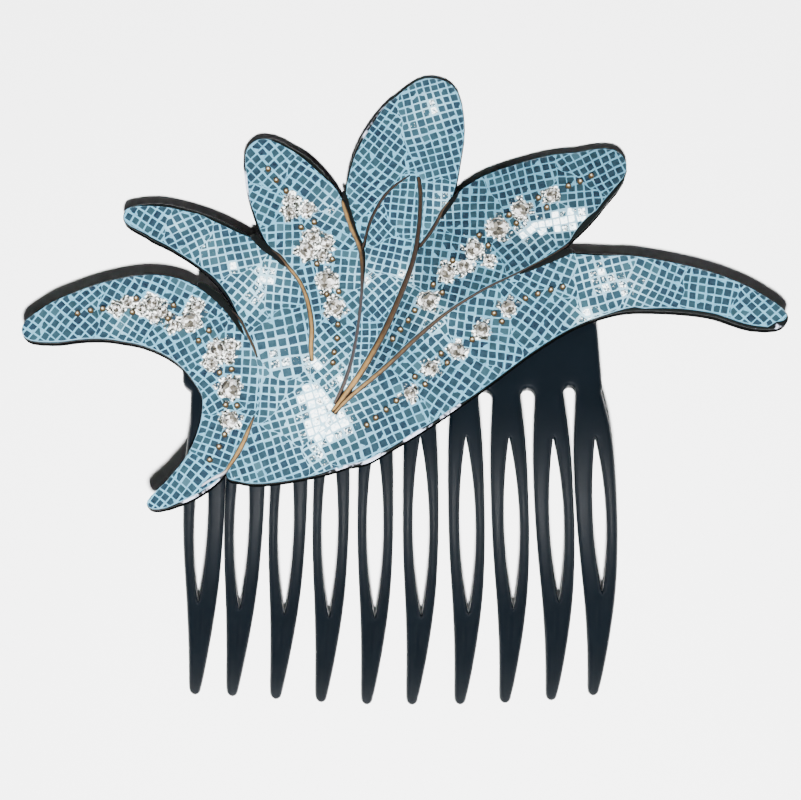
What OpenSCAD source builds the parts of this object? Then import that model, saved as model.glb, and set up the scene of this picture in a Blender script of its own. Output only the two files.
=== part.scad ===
// Side comb: a curved moulded comb with ten split teeth, carrying a flat plate cut as a
// spray of leaves. The plate is faced with mosaic panels, parted by gilt veins and set
// with flat-backed crystals and small gilt beads.
//
// Plan tables are in millimetres, with X along the comb's spine, Y away from the teeth
// and Z up through the plate, whose back is z = 0. The finished comb is then laid down
// as it rests: on the tip of the tall leaf and on the end teeth.

/* [Plate] */
// Thickness of the black plate
plate_t = 2.4; // [2.0:0.1:3.5]
// Width of the black rim left bare round the mosaic
rim = 0.15; // [0.1:0.05:0.4]
// Width of the plain flange below the mosaic of the right arm
arm_flange = 0.5; // [0:0.1:1]

/* [Mosaic] */
// Thickness of a mosaic panel
panel_t = 0.65; // [0.4:0.05:0.9]
// Width of the joint between two panels
joint_w = 0.2; // [0.15:0.05:0.4]
// Clearance of a glued piece from what carries it
glue = 0.05; // [0.04:0.01:0.1]

/* [Veins] */
// Height that a gilt vein stands above the mosaic
vein_rise = 0.15; // [0.05:0.05:0.3]
// Clearance at each side of a vein
vein_gap = 0.1; // [0.06:0.01:0.2]

/* [Comb] */
// Number of teeth
tooth_count = 10; // [8:1:12]
// Distance between two teeth at their roots
tooth_pitch = 7.18; // [7.0:0.02:7.4]
// Growth of that distance for each millimetre towards the tips
tooth_fan = 0.011; // [0:0.001:0.015]
// Thickness of the comb at its spine
spine_t = 3.0; // [2.6:0.1:3.6]
// Thickness of the comb at the tips of its teeth
tip_t = 1.1; // [0.8:0.1:1.6]
// Radius of the teeth's curve, seen from the side
curve_r = 65.2; // [62:0.1:70]
// Widest part of the slot in a middle tooth
eye_w = 2.8; // [2.4:0.1:2.9]
// Length of the slot in a middle tooth, in plan
eye_len = 30; // [26:0.2:32]

/* [Stones] */
// Diameter of a gilt bead
bead_d = 1.1; // [0.9:0.05:1.2]
// Height of a crystal as a share of its diameter
crystal_rise = 0.36; // [0.25:0.01:0.5]
// Smallest crystal that is a piece of its own
main_stone_d = 2.0; // [1.9:0.1:2.5]

/* [Rest] */
// Pitch of the comb as it lies, petals down
rest_pitch = 12; // [11:0.05:13]
// Height of the plan's origin above the surface
rest_lift = 11.78; // [10:0.01:14]
// Move that centres the lying comb along X
rest_x = -0.8; // [-3:0.01:3]
// Move that centres the lying comb along Y
rest_y = -1.94; // [-6:0.01:6]

/* [Hidden] */
steps = 5;

// Leaves: rows of rib X, rib Y, width to the left and width to the right of the rib,
// walking from the leaf's tip to its root. The tip is blunt.
left_arm = [
    [-63.5, 11.7, 0, 0],
    [-59.5, 12.8, 3.0, 2.8],
    [-54.0, 14.5, 4.2, 4.0],
    [-48.0, 16.0, 4.9, 5.7],
    [-42.0, 15.8, 6.0, 6.4],
    [-36.0, 13.5, 6.3, 6.6],
    [-31.5, 9.0, 6.3, 6.0],
    [-28.6, 2.5, 5.1, 4.9],
    [-28.7, -2.5, 4.2, 4.4],
    [-30.6, -7.6, 3.8, 3.7],
    [-33.5, -11.8, 3.4, 3.0],
    [-37.8, -15.4, 2.3, 1.9],
    [-41.8, -17.7, 0, 0]
];
low_leaf = [
    [-47.0, 32.2, 0, 0],
    [-42.5, 31.7, 2.6, 3.0],
    [-37.3, 29.8, 3.7, 3.7],
    [-32.2, 27.1, 4.5, 4.2],
    [-27.4, 23.8, 5.0, 5.0],
    [-23.3, 19.0, 6.4, 5.5],
    [-20.5, 13.0, 5.8, 5.3],
    [-19.3, 8.0, 4.4, 4.4],
    [-19.0, 3.5, 0, 0]
];
round_leaf = [
    [-25.0, 45.2, 0, 0],
    [-22.5, 41.0, 5.3, 4.5],
    [-19.0, 35.2, 7.5, 6.6],
    [-15.8, 29.0, 7.8, 6.7],
    [-13.2, 22.4, 7.2, 4.2],
    [-11.8, 15.5, 5.0, 3.3],
    [-11.5, 8.5, 3.7, 3.5],
    [-11.4, 3.0, 2.2, 3.2],
    [-11.4, -2.0, 0, 0]
];
tall_leaf = [
    [6.8, 56.3, 0, 0],
    [5.2, 51.0, 5.9, 6.4],
    [2.6, 44.5, 8.1, 8.8],
    [0.2, 38.0, 8.9, 9.2],
    [-1.6, 31.2, 7.0, 7.7],
    [-3.1, 25.0, 4.5, 3.9],
    [-4.0, 20.0, 0, 0]
];
inner_leaf = [
    [2.5, 39.6, 0, 0],
    [0.2, 33.8, 3.1, 3.5],
    [-1.6, 26.8, 4.0, 4.4],
    [-3.1, 19.8, 3.4, 3.4],
    [-5.0, 12.9, 2.3, 2.1],
    [-7.8, 5.1, 1.0, 0.9],
    [-11.0, -1.2, 0, 0]
];
right_leaf = [
    [38.0, 42.3, 0, 0],
    [32.2, 38.9, 5.3, 4.9],
    [24.5, 34.6, 8.1, 7.9],
    [16.8, 29.4, 8.1, 9.6],
    [10.0, 23.1, 5.7, 7.7],
    [4.6, 16.8, 3.4, 5.0],
    [-0.8, 10.1, 2.0, 2.6],
    [-5.8, 3.9, 0.9, 1.3],
    [-11.0, -1.6, 0, 0]
];
right_arm = [
    [65.1, 14.0, 0, 0],
    [60.4, 15.6, 2.7, 2.5],
    [53.0, 18.6, 3.4, 3.1],
    [44.5, 20.0, 3.9, 4.0],
    [36.0, 20.0, 4.7, 5.3],
    [27.0, 18.4, 6.1, 6.8],
    [18.7, 14.4, 6.9, 6.5],
    [10.5, 8.4, 7.0, 6.9],
    [2.4, 1.7, 6.3, 6.3],
    [-4.7, -4.1, 5.1, 5.8],
    [-9.0, -7.3, 4.1, 4.0],
    [-12.5, -9.6, 0, 0]
];
// Outline of the body below the leaves, clockwise
body_edge = [
    [-28.8, -12.6], [-27.8, -8.0], [-26.0, -2.0], [-25.0, 6.0], [-21.0, 9.5], [-16.0, 9.0],
    [-10.0, 5.0], [-4.0, -2.0], [-2.5, -7.0], [-5.0, -9.2], [-10.1, -11.5], [-17.1, -13.2],
    [-23.4, -14.0], [-26.9, -13.6]
];
// Patch of plate behind the middle of the spray, clockwise
heart_edge = [[-27.0, 8.0], [-24.0, 22.0], [-8.0, 33.0], [8.0, 32.0], [22.0, 24.0], [10.0, 2.0], [-12.0, -8.0]];

// Panels from the front one to the hindmost: name and outline
panels = [
    ["mosaic_inner_leaf", leaf_edge(inner_leaf, false)],
    ["mosaic_left_arm", leaf_edge(left_arm, true)],
    ["mosaic_right_leaf", leaf_edge(right_leaf, false)],
    ["mosaic_round_leaf", leaf_edge(round_leaf, false)],
    ["mosaic_tall_leaf", leaf_edge(tall_leaf, false)],
    ["mosaic_right_arm", leaf_edge(right_arm, true)],
    ["mosaic_low_leaf", leaf_edge(low_leaf, true)],
    ["mosaic_body", closed_curve(body_edge)]
];

// Veins: name, then rows of X, Y and half-width, walking from the leaf's edge to the root
veins = [
    ["vein_inner_right", [
        [3.0, 39.0, 0.35], [3.4, 35.6, 0.4], [3.1, 29.8, 0.4], [2.1, 24.1, 0.45], [-0.2, 17.7, 0.5],
        [-2.9, 11.5, 0.55], [-6.3, 5.3, 0.55], [-8.9, 1.5, 0.5], [-11.4, -1.9, 0.3]]],
    ["vein_round_leaf", [
        [-9.6, 35.0, 0.45], [-7.9, 29.6, 0.5], [-6.3, 25.5, 0.35], [-6.4, 20.1, 0.25], [-7.0, 13.7, 0.25],
        [-8.0, 7.7, 0.3], [-9.4, 3.0, 0.35], [-11.1, -0.6, 0.2]]],
    ["vein_inner_arch", [
        [1.6, 39.2, 0.15], [-0.9, 37.4, 0.25], [-2.6, 35.7, 0.3], [-3.9, 33.6, 0.3], [-5.2, 30.8, 0.3],
        [-5.9, 28.0, 0.25], [-6.1, 26.4, 0.2]]],
    ["vein_tall_leaf", [
        [8.5, 34.7, 0.2], [7.1, 32.9, 0.3], [6.1, 30.8, 0.35], [4.8, 28.7, 0.35], [3.2, 26.5, 0.3]]],
    ["vein_right_leaf", [
        [28.5, 27.1, 0.15], [25.4, 25.0, 0.2], [19.8, 22.0, 0.2], [14.0, 19.1, 0.25], [8.1, 15.3, 0.3],
        [3.1, 11.1, 0.4], [-2.6, 5.6, 0.45], [-8.3, 0.7, 0.4], [-11.1, -2.3, 0.25]]],
    ["vein_low_leaf", [
        [-22.0, 26.2, 0.2], [-20.5, 25.0, 0.35], [-19.0, 23.1, 0.35], [-17.2, 20.8, 0.35], [-16.0, 18.2, 0.4],
        [-15.3, 15.5, 0.45], [-14.9, 12.2, 0.45], [-15.0, 9.1, 0.45], [-14.8, 6.7, 0.3]]],
    ["vein_left_arm", [
        [-28.6, 15.6, 0.15], [-27.0, 14.0, 0.2], [-25.6, 11.2, 0.25], [-24.6, 9.1, 0.25], [-24.0, 7.3, 0.15]]],
    ["vein_tail", [
        [-24.3, -2.5, 0.15], [-25.2, -4.8, 0.35], [-26.2, -7.3, 0.45], [-27.3, -9.4, 0.45], [-28.2, -10.8, 0.35],
        [-29.2, -12.2, 0.3], [-31.4, -13.4, 0.25], [-33.0, -14.5, 0.2]]]
];

// Crystals: rows of X, Y and diameter, by leaf
left_arm_crystals = [
    [-47.6, 15.8, 1.7], [-45.8, 16.7, 1.5], [-43.6, 15.8, 1.5], [-41.8, 16.7, 2.0], [-41.4, 14.2, 1.3],
    [-40.1, 15.3, 1.8], [-37.8, 12.9, 1.5], [-35.3, 13.6, 2.9], [-34.3, 16.1, 1.7], [-30.7, 8.7, 2.5],
    [-28.4, 9.3, 1.7], [-28.7, 7.4, 1.5], [-31.6, 6.3, 2.0], [-28.5, 2.0, 3.2], [-28.4, -3.4, 2.5]
];
round_leaf_crystals = [
    [-18.6, 34.8, 1.5], [-18.7, 32.6, 1.7], [-15.7, 33.1, 1.8], [-14.8, 28.3, 2.0], [-12.5, 27.1, 1.8],
    [-15.8, 25.9, 2.7], [-13.2, 25.0, 1.5], [-12.4, 20.5, 3.0], [-11.0, 16.0, 2.5]
];
right_leaf_crystals = [
    [25.7, 35.6, 2.0], [20.4, 33.1, 2.7], [16.5, 29.8, 3.4], [12.4, 26.1, 2.5], [10.7, 23.1, 2.0],
    [14.8, 24.2, 1.5], [7.9, 22.0, 2.5], [4.6, 17.2, 2.7]
];
right_arm_crystals = [
    [18.1, 15.9, 2.4], [13.6, 12.1, 2.4], [9.5, 8.5, 2.4], [5.1, 5.5, 2.2], [1.6, 1.2, 2.0]
];
crystal_rows = [
    ["left_arm", left_arm_crystals],
    ["round_leaf", round_leaf_crystals],
    ["right_leaf", right_leaf_crystals],
    ["right_arm", right_arm_crystals]
];

// Beads: rows of X and Y, by leaf
bead_rows = [
    ["beads_left_arm", [
        [-54.2, 14.8], [-52.0, 15.3], [-50.0, 15.6], [-44.4, 17.4], [-45.0, 15.0], [-38.1, 16.2], [-39.0, 13.9],
        [-32.1, 11.8], [-33.8, 10.1], [-28.2, 5.2], [-30.2, 4.6], [-29.1, -0.9], [-27.2, -1.0], [-29.2, -5.9],
        [-30.1, -8.0], [-31.6, -10.2]]],
    ["beads_round_leaf", [
        [-22.5, 40.1], [-21.1, 38.1], [-19.4, 36.2], [-14.6, 30.7], [-16.8, 29.8], [-11.5, 24.2], [-14.1, 23.4],
        [-10.4, 18.6], [-12.4, 18.1], [-10.5, 12.9], [-10.6, 10.5], [-11.1, 8.1], [-11.3, 6.3]]],
    ["beads_right_leaf", [
        [32.4, 38.9], [30.5, 37.9], [28.5, 37.1], [23.4, 35.0], [24.8, 33.3], [18.4, 32.0], [19.6, 30.5],
        [13.3, 28.4], [14.8, 26.6], [8.8, 24.0], [5.5, 19.8], [7.0, 18.4], [2.4, 15.3], [1.3, 13.6],
        [0.0, 12.0], [-1.3, 10.4]]],
    ["beads_right_arm", [
        [27.3, 19.4], [25.3, 18.9], [23.1, 18.2], [21.0, 17.4], [15.7, 14.8], [17.0, 13.4], [12.0, 10.3],
        [6.8, 7.9], [7.8, 6.3], [2.4, 3.9], [4.1, 2.6], [-0.7, -0.2], [-2.4, -1.7], [-4.1, -3.1], [-5.6, -4.3]]]
];

// Comb: the upper part of its spine in plan, from the right shoulder round to the left one
spine_edge = [
    [33.6, 1.9], [34.0, 2.7], [33.7, 8.0], [33.3, 14.0], [32.7, 14.6], [-35.9, 14.4], [-36.8, 13.6],
    [-37.0, 7.0], [-36.7, 5.8], [-36.7, 3.3], [-35.5, 2.1]
];
spine_top = 15;
// Middle of the row of teeth and height of the gaps' roots there
comb_x = -0.24;
root_y = 2.3;
neck_y = 0.9;
// Rise of the end teeth over the middle ones, for each square millimetre from the middle
arch = 0.0013;
// Where the teeth start to curve down and where they end
bend_y = -1;
tip_y = -49;
// Lean of the tips to the left below this height
lean_y = -29;
lean = 0.0037;
// Tooth: rows of Y and half-width, from the root to the tip
tooth_rows = [
    [neck_y, 2.35], [-5, 2.82], [-10, 3.08], [-16, 3.16], [-22.5, 3.12], [-29, 2.85], [-35.3, 2.35], [-41.6, 1.74],
    [-46.4, 1.24], [-47.95, 1.02]
];
// Half-width at the neck of the row's outer sides: the left end and the right end
outer_neck = [3.2, 1.9];
// How far each tooth is set off its even place, to the right: at the root and at the tip,
// and how much shorter it is than an even one
tooth_set = [
    [0.5, 0.95, 0.6], [-0.05, -0.35, 0.85], [-0.1, -0.55, 0.75], [-0.3, -0.5, 0.5], [-0.25, -0.35, 0.25],
    [-0.05, -0.3, 0.2], [0.2, 0.25, 0.1], [0.1, 0.25, 0.1], [0.1, 0.5, 0.15], [-0.2, 0, 0.45]
];
// Slot: its upper end, how much shorter it gets as the teeth rise and with each tooth to the
// right, how far each is set out from the next, and its cutter's lean
eye_top = -5.3;
eye_short = 2.5;
eye_slope = 0.16;
eye_spread = 0.09;
eye_lean = 20;
band_steps = 14;

seat_z = plate_t + glue;
face_z = seat_z + panel_t;

main_crystals = [
    for (row = crystal_rows)
        let (big = [for (c = row[1]) if (c[2] >= main_stone_d) c])
        for (i = [0 : len(big) - 1]) [str("crystal_", row[0], "_", i + 1), big[i]]
];
small_crystals = [
    for (row = crystal_rows)
        let (few = [for (c = row[1]) if (c[2] < main_stone_d) c])
        if (len(few) > 0) [str("small_crystals_", row[0]), few]
];

// A point of the smooth curve through rows, between row k and the next
function curve_point(rows, k, u) =
    let (
        last = len(rows) - 1,
        a = rows[max(k - 1, 0)],
        b = rows[k],
        c = rows[min(k + 1, last)],
        d = rows[min(k + 2, last)]
    )
    0.5 * (2 * b + (c - a) * u + (2 * a - 5 * b + 4 * c - d) * u * u + (3 * b - a - 3 * c + d) * u * u * u);

// The same, round a closed loop of rows
function loop_point(rows, k, u) =
    let (
        n = len(rows),
        a = rows[(k + n - 1) % n],
        b = rows[k],
        c = rows[(k + 1) % n],
        d = rows[(k + 2) % n]
    )
    0.5 * (2 * b + (c - a) * u + (2 * a - 5 * b + 4 * c - d) * u * u + (3 * b - a - 3 * c + d) * u * u * u);

function closed_curve(rows) = [for (k = [0 : len(rows) - 1]) for (j = [0 : steps - 1]) loop_point(rows, k, j / steps)];

// A leaf's rows made fine. Its blunt tip is a parabola, and so is its root if asked.
function fine_rows(rows, blunt_root) =
    let (last = len(rows) - 1)
    concat(
        [for (j = [0 : steps - 1])
            let (t = j / steps, p = curve_point(rows, 0, t * t))
            [p[0], p[1], rows[1][2] * t, rows[1][3] * t]],
        [for (k = [1 : last - 2]) for (j = [0 : steps - 1]) curve_point(rows, k, j / steps)],
        [for (j = [0 : steps - 1])
            let (
                t = j / steps,
                w = rows[last - 1],
                p = curve_point(rows, last - 1, blunt_root ? 1 - (1 - t) * (1 - t) : t)
            )
            [p[0], p[1], w[2] * (1 - t), w[3] * (1 - t)]],
        [rows[last]]
    );

function xy(p) = [p[0], p[1]];
function across(a, b) = let (d = xy(b) - xy(a)) [-d[1], d[0]] / norm(d);

// Closed outline of a leaf, clockwise: down its left side and back up its right
function leaf_edge(rows, blunt_root) =
    let (
        s = fine_rows(rows, blunt_root),
        m = len(s) - 1,
        side = [for (i = [0 : m]) across(s[max(i - 1, 0)], s[min(i + 1, m)])]
    )
    concat(
        [for (i = [0 : m]) xy(s[i]) + side[i] * s[i][2]],
        [for (i = [m - 1 : -1 : 1]) xy(s[i]) - side[i] * s[i][3]]
    );

// Closed outline of a vein, widened at each side by more
function vein_edge(rows, more) =
    let (
        s = [for (k = [0 : len(rows) - 2]) for (j = [0 : steps - 1]) curve_point(rows, k, j / steps)],
        line = concat(s, [rows[len(rows) - 1]]),
        m = len(line) - 1,
        side = [for (i = [0 : m]) across(line[max(i - 1, 0)], line[min(i + 1, m)])],
        ahead = [for (i = [0 : m]) (i == 0 ? -1 : i == m ? 1 : 0) * more * [side[i][1], -side[i][0]]]
    )
    concat(
        [for (i = [0 : m]) xy(line[i]) + ahead[i] + side[i] * (line[i][2] + more)],
        [for (i = [m : -1 : 0]) xy(line[i]) + ahead[i] - side[i] * (line[i][2] + more)]
    );

// A clockwise outline moved outwards by a distance
function grown(edge, by) =
    let (n = len(edge))
    [for (i = [0 : n - 1]) edge[i] + by * across(edge[(i + n - 1) % n], edge[(i + 1) % n])];

// The comb laid down on the surface
module at_rest() {
    translate([rest_x, rest_y, rest_lift]) rotate([-rest_pitch, 0, 0]) children();
}

module plate() {
    broad_arm = [for (r = right_arm) [r[0], r[1], r[2] + (r[0] > 40 ? arm_flange : 0), r[3]]];
    color([0.06, 0.08, 0.1]) at_rest() linear_extrude(plate_t) {
        for (p = panels) polygon(grown(p[1], rim));
        polygon(grown(leaf_edge(broad_arm, true), rim));
        polygon(heart_edge);
    }
}

module panel(i) {
    color([0.32, 0.52, 0.6]) at_rest() translate([0, 0, seat_z]) linear_extrude(panel_t) difference() {
        polygon(panels[i][1]);
        for (j = [0 : 1 : i - 1]) polygon(grown(panels[j][1], joint_w));
        for (v = veins) polygon(vein_edge(v[1], vein_gap));
    }
}

module vein(i) {
    color([0.72, 0.56, 0.36]) at_rest() translate([0, 0, seat_z]) linear_extrude(panel_t + vein_rise) difference() {
        polygon(vein_edge(veins[i][1], 0));
        for (j = [0 : 1 : i - 1]) polygon(vein_edge(veins[j][1], vein_gap));
    }
}

// A flat-backed stone: a short girdle, eight crown facets and a table
module crystal(c) {
    girdle_h = 0.3 * crystal_rise * c[2];
    crown_h = 0.7 * crystal_rise * c[2];
    translate([c[0], c[1], face_z + glue]) {
        cylinder(h = girdle_h, d = c[2], $fn = 8);
        translate([0, 0, girdle_h]) cylinder(h = crown_h, d1 = c[2], d2 = 0.55 * c[2], $fn = 8);
    }
}

// A bead filed flat where it is glued down
module bead(p) {
    foot = 0.3 * bead_d;
    translate([p[0], p[1], face_z + glue]) intersection() {
        translate([0, 0, foot]) sphere(d = bead_d, $fn = 32);
        translate([-bead_d, -bead_d, 0]) cube([2 * bead_d, 2 * bead_d, bead_d]);
    }
}

module crystals(row) {
    color([0.85, 0.9, 0.93]) at_rest() for (c = row) crystal(c);
}

module beads(row) {
    color([0.8, 0.66, 0.36]) at_rest() for (p = row) bead(p);
}

// Side view of the comb as rows of Y and Z: flat behind the plate, then curving down
// and thinning to the tips
bend_deg = asin((bend_y - tip_y) / curve_r);
function front_at(a) = [bend_y - curve_r * sin(a), -glue - curve_r * (1 - cos(a))];
function thick_at(a) = spine_t + (tip_t - spine_t) * a / bend_deg;
function back_at(a) = front_at(a) - thick_at(a) * [-sin(a), cos(a)];
band = concat(
    [[spine_top, -glue - spine_t], [spine_top, -glue]],
    [for (i = [0 : band_steps]) front_at(bend_deg * i / band_steps)],
    [for (i = [band_steps : -1 : 0]) back_at(bend_deg * i / band_steps)]
);
function front_z(y) = y > bend_y ? -glue : -glue - curve_r * (1 - cos(asin((bend_y - y) / curve_r)));

function tooth_place(i) = i - (tooth_count - 1) / 2;
function arch_at(x) = arch * pow(x - comb_x, 2);
function tooth_arch(i) = arch * pow(tooth_place(i) * tooth_pitch, 2);
function tooth_rise(i) = tooth_arch(i) + set_of(i)[2];
function set_of(i) = tooth_set[min(i, len(tooth_set) - 1)];
function towards_tip(y) = min(max((-16 - y) / 30, 0), 1);
function tooth_mid(i, y) =
    comb_x + tooth_place(i) * (tooth_pitch + tooth_fan * (root_y - y)) - lean * pow(max(lean_y - y, 0), 2)
    + set_of(i)[0] + (set_of(i)[1] - set_of(i)[0]) * towards_tip(y);
function breadth(i, y) =
    1 + (0.0075 * pow(tooth_place(i), 2) - 0.06) * min(max((neck_y - y) / 10, 0), 1) * (1 - towards_tip(y));

tooth_fine = [for (k = [1 : len(tooth_rows) - 2]) for (j = [0 : 2]) curve_point(tooth_rows, k, j / 3)];

// One side of a tooth, from the spine to where the tip starts, as rows of Y and half-width.
// Beside a gap it flares, so that the gap's root is round.
function side_rows(i, side, flared) =
    let (
        half = tooth_pitch / 2 - side * set_of(i)[0] + 0.03,
        neck = flared ? tooth_rows[0][1] : outer_neck[side < 0 ? 0 : 1],
        r = half - neck
    )
    concat(
        flared ? [[root_y + 0.5, half]] : [[root_y + 0.5, neck - 0.1]],
        flared
            ? [for (a = [90 : -18 : 0]) [neck_y + (root_y - neck_y) * sin(a), neck + r * (1 - cos(a))]]
            : [[neck_y, neck]],
        tooth_fine
    );

// Plan outline of a tooth, standing at the level of the middle ones
function tooth_edge(i) =
    let (
        left = side_rows(i, -1, i > 0),
        right = side_rows(i, 1, i < tooth_count - 1),
        last = tooth_rows[len(tooth_rows) - 1],
        tip_x = tooth_mid(i, last[0]),
        raw = concat(
            [for (r = left) [tooth_mid(i, r[0]) - r[1] * breadth(i, r[0]), r[0]]],
            [for (a = [180 : 20 : 360]) [tip_x + last[1] * cos(a), last[0] + last[1] * sin(a)]],
            [for (k = [len(right) - 1 : -1 : 0])
                let (r = right[k]) [tooth_mid(i, r[0]) + r[1] * breadth(i, r[0]), r[0]]]
        )
    )
    [for (p = raw)
        [p[0], p[1] + arch_at(p[0]) - arch_at(tooth_mid(i, p[1])) - set_of(i)[2] * (1 - towards_tip(p[1]))]];

module tooth(i) {
    reach = tooth_pitch;
    translate([0, tooth_rise(i), 0]) difference() {
        intersection() {
            translate([tooth_mid(i, -25) - reach, 0, 0]) rotate([90, 0, 90]) linear_extrude(2 * reach) polygon(band);
            translate([0, 0, -curve_r]) linear_extrude(curve_r + 1) polygon(tooth_edge(i));
        }
        eye(i);
    }
}

// The slot: a lens cut square to the curve, a little above its lower end
module eye(i) {
    y1 = eye_top - tooth_rise(i);
    y0 = y1 - eye_len + eye_short * tooth_arch(i) + eye_slope * tooth_place(i);
    mid = [(y0 + y1) / 2, (front_z(y0) + front_z(y1)) / 2];
    half = ((y1 - y0) * cos(eye_lean) + (front_z(y1) - front_z(y0)) * sin(eye_lean)) / 2;
    w = eye_w - 0.025 * pow(tooth_place(i), 2);
    r = (half * half + w * w / 4) / w;
    translate([tooth_mid(i, mid[0]) + eye_spread * tooth_place(i), mid[0], mid[1]]) rotate([eye_lean, 0, 0])
        rotate(tooth_place(i) * atan(tooth_fan)) translate([0, 0, -12]) linear_extrude(24) intersection() {
            translate([r - w / 2, 0]) circle(r = r, $fn = 240);
            translate([w / 2 - r, 0]) circle(r = r, $fn = 240);
        }
}

module spine() {
    lower = [
        for (x = [-34.9 : 3.4 : 33.2]) [x, root_y + 0.25 + arch_at(x)]
    ];
    translate([0, 0, -glue - spine_t]) linear_extrude(spine_t) polygon(concat(spine_edge, lower));
}

module comb() {
    color([0.1, 0.13, 0.17]) at_rest() {
        spine();
        for (i = [0 : tooth_count - 1]) tooth(i);
    }
}

comb();
plate();
for (i = [0 : len(panels) - 1]) panel(i);
for (i = [0 : len(veins) - 1]) vein(i);
for (c = main_crystals) crystals([c[1]]);
for (c = small_crystals) crystals(c[1]);
for (b = bead_rows) beads(b[1]);
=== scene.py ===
"""A side comb with a mosaic-faced plate, lying on a pale table.

Everything is worked out in the plate's own plan, in millimetres: X along the comb's spine,
Y towards the petals and Z up out of the mosaic, with the back of the plate at Z = 0. One
function lays that plan down as the comb rests. Shapes are numpy surfaces.
"""
import math

import bpy
import numpy as np
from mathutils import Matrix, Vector
from mathutils.geometry import delaunay_2d_cdt


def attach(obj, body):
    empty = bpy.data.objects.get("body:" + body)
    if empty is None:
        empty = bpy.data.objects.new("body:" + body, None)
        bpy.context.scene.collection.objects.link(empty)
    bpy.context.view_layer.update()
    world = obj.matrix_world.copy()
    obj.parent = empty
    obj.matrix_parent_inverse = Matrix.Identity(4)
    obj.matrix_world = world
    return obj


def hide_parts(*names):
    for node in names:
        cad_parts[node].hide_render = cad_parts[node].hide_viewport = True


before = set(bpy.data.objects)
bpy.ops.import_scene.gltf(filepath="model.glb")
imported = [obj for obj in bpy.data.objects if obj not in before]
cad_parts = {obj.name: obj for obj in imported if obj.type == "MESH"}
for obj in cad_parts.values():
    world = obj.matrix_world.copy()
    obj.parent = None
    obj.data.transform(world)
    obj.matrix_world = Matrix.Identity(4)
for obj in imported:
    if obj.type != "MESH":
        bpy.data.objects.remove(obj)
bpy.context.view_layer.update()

# How the comb lies. The frame was centred after that, by a shift that is read from one
# crystal, of which the place and width in plan are known.
REST_PITCH = math.radians(12)
REST_AT = np.array([-0.8, -1.94, 11.78])
MARK_STONE = "crystal_left_arm_5"
MARK_AT = (-28.5, 2.0)
MARK_WIDTH = 3.2

# Levels of the plate and what it carries
PLATE_T = 2.4
GLUE = 0.05
FACE_Z = 3.1
VEIN_Z = 3.25
NOTCH_SHADE_FILLET_Z = 3.24
STONE_Z = 3.15
# Level above which the plate's rounded edge carries the painted highlight
PAINTED_HIGHLIGHT_Z = 2.2

# The comb: its row of teeth, their bend and thickness, and the arch and lean of their tips
TOOTH_COUNT = 10
TOOTH_PITCH = 7.18
TOOTH_FAN = 0.011
COMB_X = -0.24
ROOT_Y = 2.3
NECK_Y = 0.9
TIP_Y = -49
BEND_Y = -1
CURVE_R = 65.2
SPINE_T = 3.0
TIP_T = 1.1
ARCH = 0.0013
LEAN_Y = -29
LEAN = 0.0037
# The slot in each tooth
EYE_W = 2.8
EYE_LEN = 30
EYE_TOP = -5.3
EYE_SHORT = 2.5
EYE_SLOPE = 0.16
EYE_SPREAD = 0.09
# The groove below each slot
GROOVE_DEPTH = 0.32
GROOVE_W = 0.42
GROOVE_LEN = 9.5

# Rounded edges: points to a quarter circle, and radii
RINGS = 5
EDGE_STEP = 0.62
EDGE_R = 0.64
TIP_EDGE_R = 0.45
BACK_EDGE_R = 0.42
PLATE_EDGE_R = 0.16
BED_EDGE_R = (0.05, 0.02)

# Half-widths of a tooth: rows of Y and half-width, from its neck to where its tip starts
TOOTH_ROWS = [
    (NECK_Y, 2.35), (-5, 2.82), (-10, 3.08), (-16, 3.16), (-22.5, 3.12), (-29, 2.85),
    (-35.3, 2.35), (-41.6, 1.74), (-46.4, 1.24), (-47.95, 1.02)
]
# Half-width at the neck of the row's outer sides: the left end and the right end
OUTER_NECK = (3.2, 1.9)
# How far each tooth is set off its even place at the root and at the tip, and its shortening
TOOTH_SET = [
    (0.5, 0.95, 0.6), (-0.05, -0.35, 0.85), (-0.1, -0.55, 0.75), (-0.3, -0.5, 0.5),
    (-0.25, -0.35, 0.25), (-0.05, -0.3, 0.2), (0.2, 0.25, 0.1), (0.1, 0.25, 0.1),
    (0.1, 0.5, 0.15), (-0.2, 0, 0.45)
]
# The spine's outline in plan, from the right shoulder over the top to the left one
SPINE_EDGE = [
    (34.05, 2.9), (33.95, 4), (33.7, 8), (33.35, 13.3), (33.2, 14), (32.7, 14.5), (-35.8, 14.4),
    (-36.8, 13.3), (-37, 7), (-36.75, 5.6), (-36.7, 3.7), (-36.3, 3.1), (-35.75, 2.65)
]
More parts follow.
